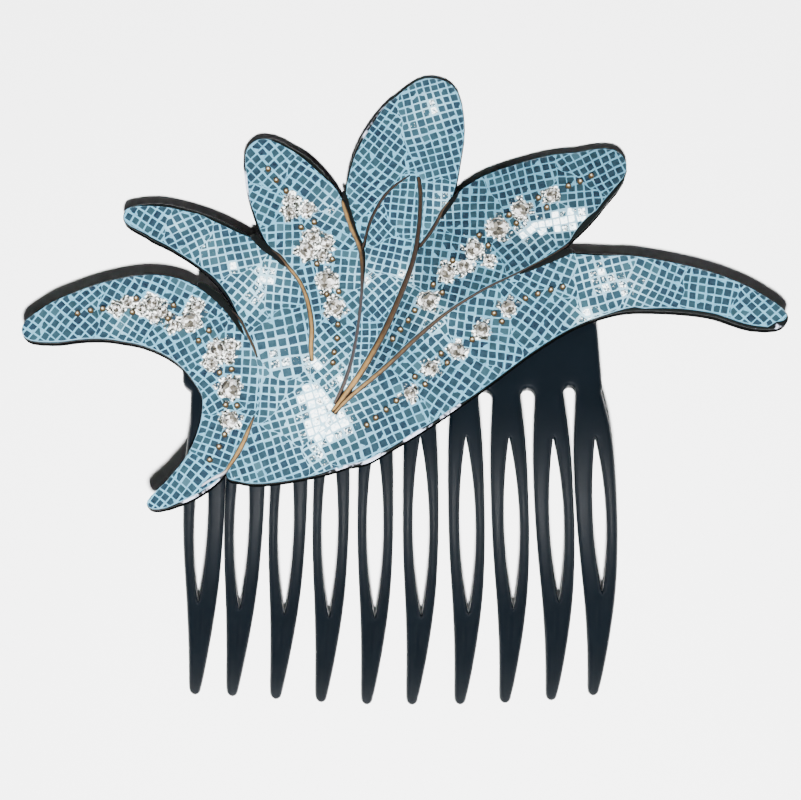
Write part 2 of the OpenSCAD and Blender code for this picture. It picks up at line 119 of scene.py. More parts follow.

# Veins: rows of X, Y and half-width, from the leaf's edge to its root; then the share of the
# gilding left at even places on that way, where the rest has rubbed off to brown; and for three
# of them the share of the way at which a painted white highlight starts, and how strong
# it is
VEINS = {
    "vein_inner_right": ([
        (3, 39, 0.35), (3.4, 35.6, 0.4), (3.1, 29.8, 0.4), (2.1, 24.1, 0.45),
        (-0.2, 17.7, 0.5), (-2.9, 11.5, 0.55), (-6.3, 5.3, 0.55), (-8.9, 1.5, 0.5),
        (-11.4, -1.9, 0.3)],
        (0.3, 0.1, 0.1, 0.15, 0.25, 0.4, 0.75, 1, 0.9)),
    "vein_round_leaf": ([
        (-10, 34.8, 0.4), (-8.4, 29.9, 0.45), (-6.8, 25.7, 0.4), (-6.5, 20.1, 0.34),
        (-7, 13.7, 0.34), (-8, 7.7, 0.36), (-9.4, 3, 0.35), (-11.1, -0.6, 0.2)],
        (0.7, 0.75, 0.5, 0.05, 0, 0.05, 0.2, 0.5), (0.36, 0.04)),
    "vein_inner_arch": ([
        (1.6, 39.2, 0.15), (-0.9, 37.4, 0.25), (-2.6, 35.7, 0.3), (-3.9, 33.6, 0.3),
        (-5.2, 30.8, 0.3), (-6, 28, 0.25), (-6.5, 26.1, 0.2)],
        (0, 0, 0)),
    "vein_tall_leaf": ([
        (8.5, 34.7, 0.2), (7.1, 32.9, 0.3), (6.1, 30.8, 0.35), (4.8, 28.7, 0.35),
        (3.2, 26.5, 0.3)],
        (0.45, 0.3, 0.05, 0, 0.1)),
    "vein_right_leaf": ([
        (28.5, 27.1, 0.15), (25.4, 25, 0.2), (19.8, 22, 0.2), (14, 19.1, 0.25),
        (8.1, 15.3, 0.3), (3.1, 11.1, 0.4), (-2.6, 5.6, 0.45), (-8.3, 0.7, 0.4),
        (-11.1, -2.3, 0.25)],
        (0.1, 0.15, 0.2, 0.3, 0.35, 0.5, 0.8, 0.9), (0.1, 0.015)),
    "vein_low_leaf": ([
        (-22, 26.2, 0.2), (-20.5, 25, 0.35), (-19, 23.1, 0.35), (-17.2, 20.8, 0.35),
        (-16, 18.2, 0.4), (-15.3, 15.5, 0.45), (-14.9, 12.2, 0.45), (-15, 9.1, 0.45),
        (-14.8, 6.7, 0.3)],
        (0.1, 0.3, 0.75, 0.8, 0.8, 0.7, 0.85, 1, 0.9)),
    "vein_left_arm": ([
        (-28.6, 15.6, 0.15), (-27, 14, 0.2), (-25.6, 11.2, 0.25), (-24.6, 9.1, 0.25),
        (-24, 7.3, 0.15)],
        (0.1, 0.25, 0.3, 0.35)),
    "vein_tail": ([
        (-24.3, -2.5, 0.15), (-25.2, -4.8, 0.35), (-26.2, -7.3, 0.45), (-27.3, -9.4, 0.45),
        (-28.2, -10.8, 0.35), (-29.2, -12.2, 0.3), (-31.4, -13.4, 0.25), (-33, -14.5, 0.2)],
        (0.4, 0.8, 0.9, 0.8, 1, 1), (0.66, 1)),
}

# Where the mosaic steps back to show the plate's black, partly its real rim and partly a
# dark band standing in for the leaf's shadow: X, Y, reach and width
RIM_AND_SHADE_SPOTS = np.array([
    (-13.5, 43.5, 5.5, 0.75), (-19, 46.5, 4, 0.6), (-25.2, 40, 5, 0.25), (-39, 33.5, 6, 0.6),
    (-30, 30, 5, 0.7), (-4.5, 46, 6, 0.45), (-7, 40.5, 3, 0.3), (36.5, 35, 4, 0.55),
    (32.5, 30, 3.5, 0.9), (22, 43, 8, 0.05), (33, 25.5, 4, 0.4), (62, 11.8, 4, 0.8),
    (55, 13, 4, 0.55), (42, 16, 6, 0.35), (-48, 20, 8, 0.2), (-31, 19, 4, 0.3),
    (-10, -12.6, 3, 0.28), (-4, -10.5, 4, 0.34), (3, -6.8, 4, 0.36), (9, -3.6, 4, 0.32),
    (-34, -16, 4, 0.25)
])
# Where a painted white highlight lies along the plate's rounded top edge, standing in for
# its gleam: X, Y and reach
PAINTED_HIGHLIGHT_SPOTS = np.array([
    (-9.5, -12.4, 2.5), (-4, -10.5, 3.5), (3, -6.5, 3.5), (9.5, -3, 3.5), (-31, -14.2, 2.5),
    (-35, -16.5, 2.5), (-4.5, 46, 3.5), (-1.5, 50, 3), (-26, 38, 3.5), (-63.5, 12.5, 2),
    (63.5, 11.5, 1.5), (60, 11.8, 1.5)
])

# Black fillets in the notches between two leaves, partly the plate's black edge and partly
# painted shade laid where the leaves' shadow falls: rows of X, Y and half-width, from the
# plate's edge inwards
NOTCH_SHADE_FILLETS = {
    "arm_and_low_leaf": [
        (-34.2, 20.2, 0.55), (-32, 18.7, 0.7), (-30.3, 17.2, 0.7), (-28.6, 15.1, 0.55),
        (-27.2, 12.8, 0.38), (-26.2, 11.1, 0.15)],
    "low_and_round_leaf": [
        (-25.2, 28.6, 0.5), (-23.4, 26.9, 0.7), (-22, 25.6, 0.55), (-20.6, 24.3, 0.4),
        (-19.4, 23, 0.15)],
    "round_and_tall_leaf": [
        (-9.8, 36.4, 0.25), (-9.4, 35.3, 0.38), (-8.85, 33.5, 0.3), (-8.25, 31.7, 0.26),
        (-7.65, 29.8, 0.22), (-6.95, 27.8, 0.1)],
    "tall_and_right_leaf": [
        (9.9, 35.9, 0.2), (9.1, 35.1, 0.42), (8.35, 34.1, 0.48), (7.6, 32.8, 0.35),
        (6.9, 31.3, 0.12)],
    "right_leaf_and_arm": [
        (29.3, 25.9, 0.25), (28.4, 25.7, 0.5), (27, 25.2, 0.68), (25, 24.2, 0.6),
        (22.5, 22.9, 0.35), (20, 21.7, 0.15)],
}

# Patches of mosaic: centre X and Y, heading of the rows in degrees, the pitch of the tiles
# and the bend of the rows in degrees for each millimetre. The last two are left out where
# they are plain. A tile belongs to the nearest patch.
PLAIN_PATCH = (1.4, 0)
PATCHES = {
    "mosaic_left_arm": [
        (-55, 14.5, 48, 1.4, -1), (-46.5, 14, -32), (-38, 17.5, -27, 1.4, -1),
        (-37, 9.5, -57), (-31.8, 1.5, -52, 1.4, -3), (-26, 5, -4, 1.45), (-30.5, -6, -20),
        (-36.5, -13, -35, 1.4, -2)],
    "mosaic_low_leaf": [
        (-43, 31.5, -31), (-36.5, 29, -62), (-29, 26, 12), (-25.5, 18, -40), (-20.5, 19, -7),
        (-18.5, 12, 12, 1.75)],
    "mosaic_round_leaf": [
        (-23.5, 41, 45, 1.45), (-15.5, 37.3, -38, 1.45), (-24.5, 33.5, -27, 1.45),
        (-20.5, 27, 2, 1.45), (-11, 29, -33, 1.45), (-9.5, 22.5, -5), (-16, 18, 12),
        (-9.2, 15.5, 40)],
    "mosaic_tall_leaf": [
        (-4.5, 43.5, 52, 1.35, 0.4), (6, 45, 16, 1.35), (6, 31.5, -5, 1.35)],
    "mosaic_inner_leaf": [
        (0.2, 32, -3, 1.3), (-3.8, 30, 45, 1.3), (-1.8, 25, -15, 1.3), (-3.8, 18.5, 43, 1.3),
        (-6, 9, 0, 1.3)],
    "mosaic_right_leaf": [
        (33, 39.5, 27), (21, 38, 14), (11, 32, 0, 1.45), (30.5, 35.5, 6, 1.45),
        (26.5, 31, 9, 1.35), (22.5, 26.3, 38, 1.45), (9, 25, -6, 1.45), (12.5, 19.5, -17, 1.45),
        (2, 11, -25)],
    "mosaic_right_arm": [
        (60, 15, 42), (52, 17.5, -10), (43, 19.5, -25), (34, 22, 15, 1.45), (25, 22, -25, 1.45),
        (23, 16, -38, 1.5), (13, 12.5, -8, 1.5), (5, 8, 42, 1.5), (9, 3, -35, 1.5),
        (-2, -2, 25, 1.5)],
    "mosaic_body": [
        (-22.5, 2, -5), (-17, -3, 18), (-21, -10, 20), (-11, -8, 30), (-17, 9, 25)],
}
# How far a patch is tried from its centre, the share of the pitch that a tile fills, and
# the least share of a tile that is kept
PATCH_REACH = 13
TILE_SHARE = 0.81
SCRAP = 0.07
# Joints: half of the one between panels, and those at a panel's edge and between patches.
# A panel ends at the plate's rim where it is within RIM_W of it.
HALF_JOINT = 0.1
RIM_JOINT = 0.03
PATCH_JOINT = 0.035
RIM_W = 0.45
# Levels of the grout and of a tile's foot, brim, middle and highest corner, and its bevel
BED_Z = 3.075
TILE_FOOT = 3.02
TILE_BRIM = 3.082
TILE_Z = 3.115
TILE_TOP = 3.148
TILE_BEVEL = 0.08
# The first panel's number for its random draws
MOSAIC_SEED = 40

# Panels whose glass and grout are drawn darker, by how much
DUSK = {"right_leaf": 0.35, "right_arm": 0.1}
# Spots of painted glint on the tiles, with painted sheen round them, standing in for the key
# lamp's reflection off the glass: X, Y, reach and strength
PAINTED_GLINT_SPOTS = np.array([
    (-13.2, -5, 3.4, 1), (-14.8, 0.5, 2.8, 0.95), (-10, -3.5, 2.8, 0.95),
    (-13.5, -8.8, 2.4, 0.55), (-14.5, 6.5, 2.4, 0.6), (-13.5, -2, 5.5, 0.62),
    (-10, 3.5, 3.5, 0.5), (21.5, 29.2, 1.8, 0.95), (24, 30.1, 1.9, 1), (26.5, 30.9, 2, 1),
    (29, 31.4, 1.9, 1), (31, 31.7, 1.4, 0.9), (-22.8, 21.5, 2.9, 0.64),
    (-24.8, 18.3, 2.6, 0.58), (5, 51, 2.8, 0.46), (2.5, 48, 2, 0.36), (34, 21, 3.6, 0.52),
    (38.5, 20, 3.2, 0.46), (31.5, 14.5, 2, 0.8), (-20, 7, 4, 0.42), (6, 13.5, 2.6, 0.46),
    (-5.5, 21, 2.5, 0.4), (0.5, 21.5, 1.8, 0.6), (-47, 13.3, 1.6, 0.4), (7, 34.5, 1.6, 0.55),
    (-12.5, 33.5, 2, 0.36), (-38, 30.3, 1.3, 0.46), (-32.5, 26.5, 2.2, 0.46),
    (-28.5, 23, 1.8, 0.46)
])

# Height of a stone and of its girdle: shares of its width and of that height
STONE_H = 0.36
GIRDLE = 0.3
# How far the crushed stone reaches round a stone
STONE_GLITTER = 0.9
# Leaves where the stones, and the crushed stone, are drawn darker: the share of their brightness
# that is kept
STONE_LIGHT = {"right_arm": 0.83, "right_leaf": 0.88}
STONE_SEED = 7
BEAD_R = 0.55
# The sunken wires: half their thickness, their level, and the foot and top of their posts
WIRE_HALF = 0.16
WIRE_Z = 2.9
POST_REACH = (2.75, 3.3)

# The studio, in metres. The key lamp stands beside the camera, on the teeth's side, so
# the shadows run outwards.
WORLD_FILL = 0.010
KEY_AT = (0.0, -0.095, 0.45)
CAMERA_UP = 0.4
CAMERA_LENS = 107.87

# ---- laying down and meshes


def laid_down(plan):
    """Plan points in millimetres as table points in metres: turned about X by the rest
    pitch, petals down, and moved to where the comb rests."""
    c, s = math.cos(REST_PITCH), math.sin(REST_PITCH)
    x, y, z = np.moveaxis(np.asarray(plan, float), -1, 0)
    return (np.stack([x, y * c + z * s, z * c - y * s], -1) + REST_AT) * 0.001


def plan_of(table):
    """The way back: table points in metres as plan points in millimetres."""
    c, s = math.cos(REST_PITCH), math.sin(REST_PITCH)
    x, y, z = np.moveaxis(np.asarray(table, float) * 1000 - REST_AT, -1, 0)
    return np.stack([x, y * c - z * s, y * s + z * c], -1)


def node_corners(node):
    """Corners of a node's triangles, as they come, in metres: an array of triangles, three
    corners and three coordinates."""
    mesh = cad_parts[node].data
    mesh.calc_loop_triangles()
    at = np.empty(len(mesh.vertices) * 3)
    mesh.vertices.foreach_get("co", at)
    tri = np.empty(len(mesh.loop_triangles) * 3, np.int32)
    mesh.loop_triangles.foreach_get("vertices", tri)
    return at.reshape(-1, 3)[tri].reshape(-1, 3, 3)


def welded(tri):
    """The corners of triangles without doubles, to three decimals, and for each triangle
    the numbers of its corners."""
    corners = np.round(tri.reshape(-1, tri.shape[-1]), 3)
    corners, which = np.unique(corners, axis=0, return_inverse=True)
    return corners, which.reshape(-1, 3)


def settle():
    """The small shift that centred the frame, to be added to the rest place: the middle of
    one crystal's corners, against the middle that its plan place gives."""
    corners = welded(node_corners(MARK_STONE) * 1000)[0]
    girdle, height = GIRDLE * STONE_H * MARK_WIDTH, STONE_H * MARK_WIDTH
    return corners.mean(0) - laid_down([*MARK_AT, STONE_Z + (girdle + height) / 3]) * 1000


REST_AT = REST_AT + settle()


def node_outline(node, level):
    """Outline of a node's flat face at a level of the plan: its corners, and pairs of
    corners that follow each other with the face on their left. They are the edges that
    only one triangle uses."""
    tri = plan_of(node_corners(node))
    corners, which = welded(tri[np.all(np.abs(tri[:, :, 2] - level) < 0.01, axis=1)][:, :, :2])
    ends = np.concatenate([which[:, [0, 1]], which[:, [1, 2]], which[:, [2, 0]]])
    size = len(corners)
    ends = ends[ends[:, 0] != ends[:, 1]]
    key, back = ends[:, 0] * size + ends[:, 1], ends[:, 1] * size + ends[:, 0]
    ends = ends[~np.isin(key, back)]
    used, ends = np.unique(ends, return_inverse=True)
    return corners[used], ends.reshape(-1, 2)


def depth_block(points, a, b):
    """Depth of points inside an outline given as segments a to b: the distance to the
    nearest segment, positive where a line to the right crosses an odd number of them."""
    p = points[:, None]
    along = b - a
    t = np.clip(((p - a) * along).sum(-1) / (along ** 2).sum(-1), 0, 1)
    gap = np.sqrt((((p - a) - t[..., None] * along) ** 2).sum(-1)).min(1)
    spans = (a[:, 1] > p[..., 1]) != (b[:, 1] > p[..., 1])
    rise = np.where(along[:, 1] == 0, 1, along[:, 1])
    cross = spans & (p[..., 0] < a[:, 0] + (p[..., 1] - a[:, 1]) * along[:, 0] / rise)
    return np.where(cross.sum(1) % 2 == 1, gap, -gap)


def depth_in(points, corners, ends):
    """Depth of points inside an outline, negative outside, worked out for 1500 of them at
    a time to spare memory."""
    a, b = corners[ends[:, 0]], corners[ends[:, 1]]
    return np.concatenate([depth_block(points[k:k + 1500], a, b)
                           for k in range(0, len(points), 1500)])


def far_off(points, spots):
    """How far plan points are from spots of X, Y and reach, over that reach, squared."""
    return ((points[:, None] - spots[:, :2]) ** 2).sum(-1) / spots[:, 2] ** 2


def lattice(x, y):
    """Plan points on every crossing of the lines x and y."""
    return np.stack(np.meshgrid(x, y), -1).reshape(-1, 2)


def raised(at, z):
    """Points of X and Y brought to the level z."""
    return np.concatenate([at, np.broadcast_to(z, at.shape[:-1])[..., None]], -1)


def ring(turn, radius, height):
    """Points at the angles turn round the Z axis."""
    return raised(np.stack([radius * np.cos(turn), radius * np.sin(turn)], -1), height)


def band(first, up, count):
    """Faces of the band between two rings of so many points, from the number of the first
    point of each."""
    k = np.arange(count)
    step = (k + 1) % count
    return np.stack([first + k, first + step, up + step, up + k], -1)


def copies(faces, size, count, first=0):
    """Faces of so many copies of a shape, one after the other, from the number of the
    first point and the number of points in a copy."""
    faces = np.asarray(faces)
    shift = first + size * np.arange(count)[:, None, None]
    return (faces + shift).reshape(-1, faces.shape[1])


def left_of(way):
    """Ways turned a quarter to the left."""
    return np.stack([-way[:, 1], way[:, 0]], -1)


def length_along(line):
    """Length of a line from its start to each of its points."""
    return np.concatenate([[0], np.cumsum(np.linalg.norm(np.diff(line, axis=0), axis=1))])


def placed(name, data):
    """A new object in the scene, at the origin."""
    thing = bpy.data.objects.new(name, data)
    bpy.context.scene.collection.objects.link(thing)
    return thing


def new_piece(name, plan, faces, *materials, smooth=True, sharp=None, faces_material=None,
              values=None):
    """A piece of the comb from plan points and groups of faces, riding on the comb's one
    body. Edges that turn by more than the angle sharp, in degrees, aren't smoothed. Values
    are named numbers, one for each point, that the materials read."""
    mesh = bpy.data.meshes.new(name)
    mesh.from_pydata(laid_down(plan).tolist(), [],
                     [face for group in faces for face in np.asarray(group).tolist()])
    for key, numbers in (values or {}).items():
        layer = mesh.attributes.new(key, "FLOAT", "POINT")
        layer.data.foreach_set("value", np.asarray(numbers, np.float32))
    mesh.polygons.foreach_set("use_smooth", np.full(len(mesh.polygons), smooth))
    for material in materials:
        mesh.materials.append(material)
    if faces_material is not None:
        mesh.polygons.foreach_set("material_index", np.asarray(faces_material, np.int32))
    mesh.update()
    if sharp:
        mesh.set_sharp_from_angle(angle=math.radians(sharp))
    piece = placed(name, mesh)
    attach(piece, "root")
    return piece


def curve_through(rows, per_span, first=0):
    """The smooth curve through rows from the row first on, per_span points to a span: each
    span is the cubic that passes through its ends with the slope of their neighbours."""
    rows = np.asarray(rows, float)
    last = len(rows) - 1
    k = np.arange(first, last)
    u = (np.arange(per_span) / per_span)[None, :, None]
    a, b, c, d = (rows[np.clip(k + j, 0, last)][:, None] for j in (-1, 0, 1, 2))
    line = 0.5 * (2 * b + (c - a) * u + (2 * a - 5 * b + 4 * c - d) * u ** 2
                  + (3 * b - a - 3 * c + d) * u ** 3)
    return np.concatenate([line.reshape(-1, rows.shape[1]), rows[last:]])


def even_steps(line, step):
    """A line's points set again at even steps of its length, both ends kept."""
    run = length_along(line)
    at = np.linspace(0, run[-1], max(int(round(run[-1] / step)), 2) + 1)
    return np.stack([np.interp(at, run, line[:, k]) for k in range(line.shape[1])], -1)


def way_in(corners, ends):
    """For each corner of an outline, the step inwards that moves both its edges by one:
    the two edges' own ways in, added, over half the square of that sum. The square is
    taken as 1.6 or more, so that a sharp corner isn't carried too far."""
    way = corners[ends[:, 1]] - corners[ends[:, 0]]
    left = left_of(way) / np.linalg.norm(way, axis=1)[:, None]
    inward = np.zeros_like(corners)
    np.add.at(inward, ends[:, 0], left)
    np.add.at(inward, ends[:, 1], left)
    return inward / (np.maximum((inward ** 2).sum(1), 1.6)[:, None] / 2)


def slab(corners, ends, front_r, back_r, inner, shape):
    """A slab with rounded edges. The outline is carried inwards by the front's radius,
    which may differ from corner to corner, on a set of rings at the back and another at
    the front. A set is a quarter of an ellipse, as deep as its own radius. The middle is
    filled with triangles through the last ring and the inner points. shape(points, depth,
    back) gives plan points from outline points, the depth below the front or back face
    and which face it is."""
    inward = way_in(corners, ends)
    turn = np.linspace(0, math.pi / 2, RINGS)
    n, m = len(corners), len(inner)
    front_r = np.broadcast_to(front_r, n)
    rings = []
    for back, radius in ((True, back_r), (False, front_r)):
        for angle in (turn[::-1] if back else turn):
            on = corners + inward * (front_r * (1 - math.cos(angle)))[:, None]
            rings.append(shape(on, radius * (1 - math.sin(angle)), back))
    last = corners + inward * front_r[:, None]
    every = np.concatenate([last, inner])
    filled = delaunay_2d_cdt([Vector(p) for p in every.tolist()], ends.tolist(), [], 0, 1e-6)
    place = np.array([k[0] if k else -1 for k in filled[3]])
    tri = place[np.array([t for t in filled[2] if len(t) == 3])]
    tri = tri[(tri >= 0).all(1)]
    spot = every[tri]
    a, b = spot[:, 1] - spot[:, 0], spot[:, 2] - spot[:, 0]
    turned = a[:, 0] * b[:, 1] - a[:, 1] * b[:, 0]
    tri[turned < 0] = tri[turned < 0][:, ::-1]
    tri = tri[(np.abs(turned) > 1e-9) & (depth_in(spot.mean(1), last, ends) > 0)]
    on_front = (2 * RINGS - 1) * n
    front = tri + on_front
    back = np.where(tri < n, tri, tri + on_front + m)[:, ::-1]
    walls = np.concatenate([np.hstack([ends, ends[:, ::-1] + n]) + k * n
                            for k in range(2 * RINGS - 1)])
    plan = np.concatenate(rings + [shape(inner, 0, False), shape(inner, 0, True)])
    return plan, [walls, front, back]


# ---- materials


class Finish:
    """A material built node by node: each call adds a node and returns its output. A colour
    is a red, a green and a blue."""

    def __init__(self, name):
        self.material = bpy.data.materials.new(name)
        self.material.use_nodes = True
        self.tree = self.material.node_tree
        self.shader = self.tree.nodes["Principled BSDF"]

    def add(self, kind, inputs=None, output=0, **settings):
        """A node with its settings, and its inputs by name or number, each a value or an
        output."""
        node = self.tree.nodes.new("ShaderNode" + kind)
        for key, value in settings.items():
            setattr(node, key, value)
        for key, value in (inputs or {}).items():
            self.put(node.inputs[key], value)
        return node.outputs[output]

    def put(self, socket, value):
        """Sets a socket to a number or a colour, or joins an output to it."""
        if isinstance(value, bpy.types.NodeSocket):
            self.tree.links.new(value, socket)
        else:
            socket.default_value = (*value, 1) if isinstance(value, tuple) else value

    def set(self, **inputs):
        """Sets the shader's own inputs, with spaces for underscores."""
        for key, value in inputs.items():
            self.put(self.shader.inputs[key.replace("_", " ")], value)

    def noise(self, scale, detail=3.0, rough=0.5):
        """Cloudy noise on the object, with so many cells to a metre."""
        return self.add("TexNoise", {"Vector": self.add("TexCoord", output="Object"),
                                     "Scale": scale, "Detail": detail, "Roughness": rough})

    def value(self, name):
        """One of the piece's own named numbers."""
        return self.add("Attribute", output="Fac", attribute_name=name)

    def ramp(self, factor, *stops):
        """Colours along a factor: pairs of place and colour."""
        colour_at = self.add("ValToRGB", {0: factor})
        line = colour_at.node.color_ramp.elements
        while len(line) < len(stops):
            line.new(0.5)
        for stop, (place, colour) in zip(line, stops):
            stop.position = place
            stop.color = (*colour, 1)
        return colour_at

    def blend(self, factor, a, b):
        """Two colours mixed by a factor."""
        return self.add("Mix", {0: factor, 6: a, 7: b}, 2, data_type="RGBA")

    def sum(self, kind, a, b):
        """Arithmetic on two numbers."""
        return self.add("Math", {0: a, 1: b}, operation=kind)

    def span(self, factor, low, high):
        """A factor from 0 to 1 stretched to a range."""
        return self.add("MapRange", {"Value": factor, "To Min": low, "To Max": high})

    def above(self, name, level, low, high):
        """0 to 1: how far one of the piece's numbers stands above a level, between low and
        high."""
        over = self.sum("SUBTRACT", self.value(name), level)
        return self.add("MapRange", {"Value": over, "From Min": low, "From Max": high})

    def breaks_through(self, name, scale, share):
        """0 to 1: where the attribute stands above the share of a noise, in ragged flecks."""
        level = self.sum("MULTIPLY", self.noise(scale, 3, 0.65), share)
        return self.above(name, level, -0.04, 0.06)

    def darkened(self, under):
        """A colour darkened by the attribute "dusk"."""
        return self.blend(self.value("dusk"), under, (0.002, 0.005, 0.007))

    def crushed_stone(self, under):
        """A colour covered by crushed stone where the attribute "glitter" is high: dark,
        grey and white grains."""
        grains = self.ramp(self.noise(2100, 2, 0.6), (0.37, (0.010, 0.011, 0.009)),
                           (0.45, (0.040, 0.042, 0.036)), (0.52, (0.15, 0.16, 0.15)),
                           (0.59, (0.9, 0.92, 0.9)))
        return self.blend(self.breaks_through("glitter", 1500, 1.0), under, grains)

    def bump(self, height, strength, distance):
        """Relief from a height."""
        self.set(Normal=self.add("Bump", {"Height": height, "Strength": strength,
                                          "Distance": distance}))


def moulded_plastic(name, dark, light, relief):
    """Glossy moulded plastic: cloudy depth of colour, faint handling marks in the gloss
    and a low orange-peel relief. Where the attribute "painted_highlight" is set, a white-lilac
    painted highlight lies on it in dashes, standing in for the gleam of a rounded edge."""
    f = Finish(name)
    # Painted highlight: white-lilac dashes where the attribute is set, broken up by noise
    left = f.above("painted_highlight", f.noise(1100, 3, 0.6), -0.05, 0.1)
    plain = f.blend(f.span(f.noise(160, 2), 0, 1), dark, light)
    f.set(Base_Color=f.blend(left, plain, (0.40, 0.42, 0.52)),
          Roughness=f.span(f.noise(900, 4, 0.6), 0.36, 0.5), Specular_IOR_Level=0.3)
    f.bump(f.noise(1400, 2), relief, 0.00004)
    return f.material


def sawn_edge():
    """Matt black, a little uneven: the plate's wall as the saw left it."""
    f = Finish("sawn edge")
    f.set(Base_Color=f.blend(f.noise(600, 3), (0.0012, 0.0015, 0.0016), (0.0035, 0.0038, 0.0036)),
          Roughness=0.8, Specular_IOR_Level=0.0)
    f.bump(f.noise(2600, 2), 0.3, 0.00005)
    return f.material


def tile_glass():
    """Glass tiles over coloured foil: each tile has its own depth of teal, clouded a little
    within the tile. Near the glint spots it is lightened by painted sheen and broken by
    painted glints, ragged near-white flecks that stand in for the lamp's reflection off the
    glass. Round the stones it is covered by crushed stone. The face is slightly uneven."""
    f = Finish("tile glass")
    own = f.ramp(f.value("tint_and_painted_facet_light"), (0.0, (0.0050, 0.0096, 0.0176)),
                 (0.35, (0.0066, 0.0144, 0.0215)), (0.75, (0.0104, 0.0250, 0.0315)),
                 (1.0, (0.023, 0.054, 0.068)))
    cloud = f.blend(f.span(f.noise(1300, 3), -0.18, 0.42), own, (0.034, 0.078, 0.108))
    with_painted_sheen = f.blend(f.span(f.value("painted_sheen"), 0, 0.42), cloud, (0.050, 0.125, 0.160))
    # Painted glint colour: light blue to near-white flecks, standing in for the lamp's reflection
    # off the tiles
    foil = f.ramp(f.noise(1900, 2, 0.6), (0.38, (0.45, 0.68, 0.78)), (0.5, (0.95, 1.0, 1.0)))
    with_painted_glints = f.blend(f.breaks_through("pale", 2600, 0.9), f.darkened(with_painted_sheen), foil)
    f.set(Base_Color=f.crushed_stone(with_painted_glints), Roughness=f.span(f.noise(2500, 2), 0.1, 0.2),
          Specular_IOR_Level=0.5)
    f.bump(f.noise(1500, 2), 0.18, 0.0001)
    return f.material


def pale_grout():
    """Pale blue grout, a little uneven in colour and height, brightened nearly to white by
    painted sheen near the glint spots, and covered by crushed stone round the stones."""
    f = Finish("pale grout")
    own = f.blend(f.span(f.noise(700, 4), 0, 1), (0.040, 0.135, 0.212), (0.105, 0.290, 0.390))
    with_painted_sheen = f.blend(f.span(f.value("painted_sheen"), 0, 0.6), f.darkened(own), (0.50, 0.72, 0.80))
    f.set(Base_Color=f.crushed_stone(with_painted_sheen), Roughness=0.5, Specular_IOR_Level=0.3)
    f.bump(f.noise(5000, 2), 0.3, 0.00005)
    return f.material


def gilt(name, dark, middle, light, metal, polish):
    """Gilding: warm metal, light on its crown and dark along its foot, where the attribute
    "crown" falls to nothing: a painted highlight on the crown and painted shade at the foot.
    On the veins that attribute also falls where the gilding has rubbed thin, and noise wears
    it in between. Where the attribute "painted_highlight" is set the metal is painted
    white-lilac, a painted highlight."""
    f = Finish(name)
    # Painted light and wear: the crown's painted highlight and shade, the gilding left, and noise
    wear_and_painted_light = f.sum("ADD", f.value("crown"), f.span(f.noise(900, 4, 0.65), -0.3, 0.3))
    warm = f.ramp(wear_and_painted_light, (0.1, dark), (0.45, middle), (0.95, light))
    f.set(Base_Color=f.blend(f.value("painted_highlight"), warm, (0.42, 0.43, 0.52)), Metallic=metal,
          Roughness=f.span(f.noise(1500, 3), polish, polish + 0.2))
    f.bump(f.noise(2600, 3), 0.35, 0.00006)
    return f.material


def cut_crystal():
    """Foil-backed crystal: silvery, each facet with its own painted brightness from near
    black to white, standing in for the facets' reflections, and a faint cloud of the foil
    behind it."""
    f = Finish("cut crystal")
    shade = f.ramp(f.value("tint_and_painted_facet_light"), (0.0, (0.008, 0.008, 0.006)), (0.3, (0.040, 0.036, 0.027)),
                   (0.58, (0.13, 0.12, 0.095)), (0.8, (0.55, 0.54, 0.52)), (0.95, (1.0, 1.0, 1.0)))
    f.set(Base_Color=f.blend(f.span(f.noise(1300, 2), 0, 0.3), shade, (0.16, 0.15, 0.13)),
          Metallic=0.25, Roughness=f.span(f.noise(2000, 2), 0.05, 0.14), Coat_Weight=1.0,
          Coat_Roughness=0.03)
    return f.material


def silver():
    """Silver of the settings: pale metal, tarnished in spots."""
    f = Finish("setting silver")
    f.set(Base_Color=f.ramp(f.noise(1700, 3, 0.65), (0.36, (0.040, 0.036, 0.029)),
                            (0.47, (0.20, 0.185, 0.155)), (0.58, (0.95, 0.95, 0.93))),
          Metallic=0.4, Roughness=f.span(f.noise(1700, 2), 0.15, 0.35))
    f.bump(f.noise(3500, 2), 0.4, 0.00005)
    return f.material


PLASTIC = moulded_plastic("comb plastic", (0.0006, 0.0014, 0.0024), (0.0013, 0.0026, 0.0042), 0.2)
LACQUER = moulded_plastic("plate lacquer", (0.0014, 0.0019, 0.0020), (0.0030, 0.0036, 0.0036),
                          0.15)
SAWN_EDGE = sawn_edge()
TILES = tile_glass()
GROUT = pale_grout()
# Gilt colours from dark to light: the dark end is painted shade at a vein's foot or round a bead,
# the light end a painted highlight on the crown, near white on the beads
VEIN_GOLD = gilt("vein gilding", (0.018, 0.012, 0.009), (0.045, 0.027, 0.014),
                 (0.25, 0.15, 0.055), 0.3, 0.3)
BEAD_GOLD = gilt("bead gilding", (0.040, 0.026, 0.011), (0.14, 0.095, 0.040),
                 (0.98, 0.92, 0.78), 0.45, 0.14)
CRYSTAL = cut_crystal()
SILVER = silver()

# ---- comb


def tooth_place(i):
    """Place of a tooth in the row, counted from the middle."""
    return i - (TOOTH_COUNT - 1) / 2


def arch_at(x):
    """Rise of the row of teeth away from its middle: a parabola."""
    return ARCH * (x - COMB_X) ** 2


def tooth_rise(i):
    """How far a tooth stands above the level of the middle ones."""
    return ARCH * (tooth_place(i) * TOOTH_PITCH) ** 2 + TOOTH_SET[i][2]


def towards_tip(y):
    """0 down to Y = -16, and then rising to 1 at Y = -46, near a tooth's tip."""
    return np.clip((-16 - y) / 30, 0, 1)


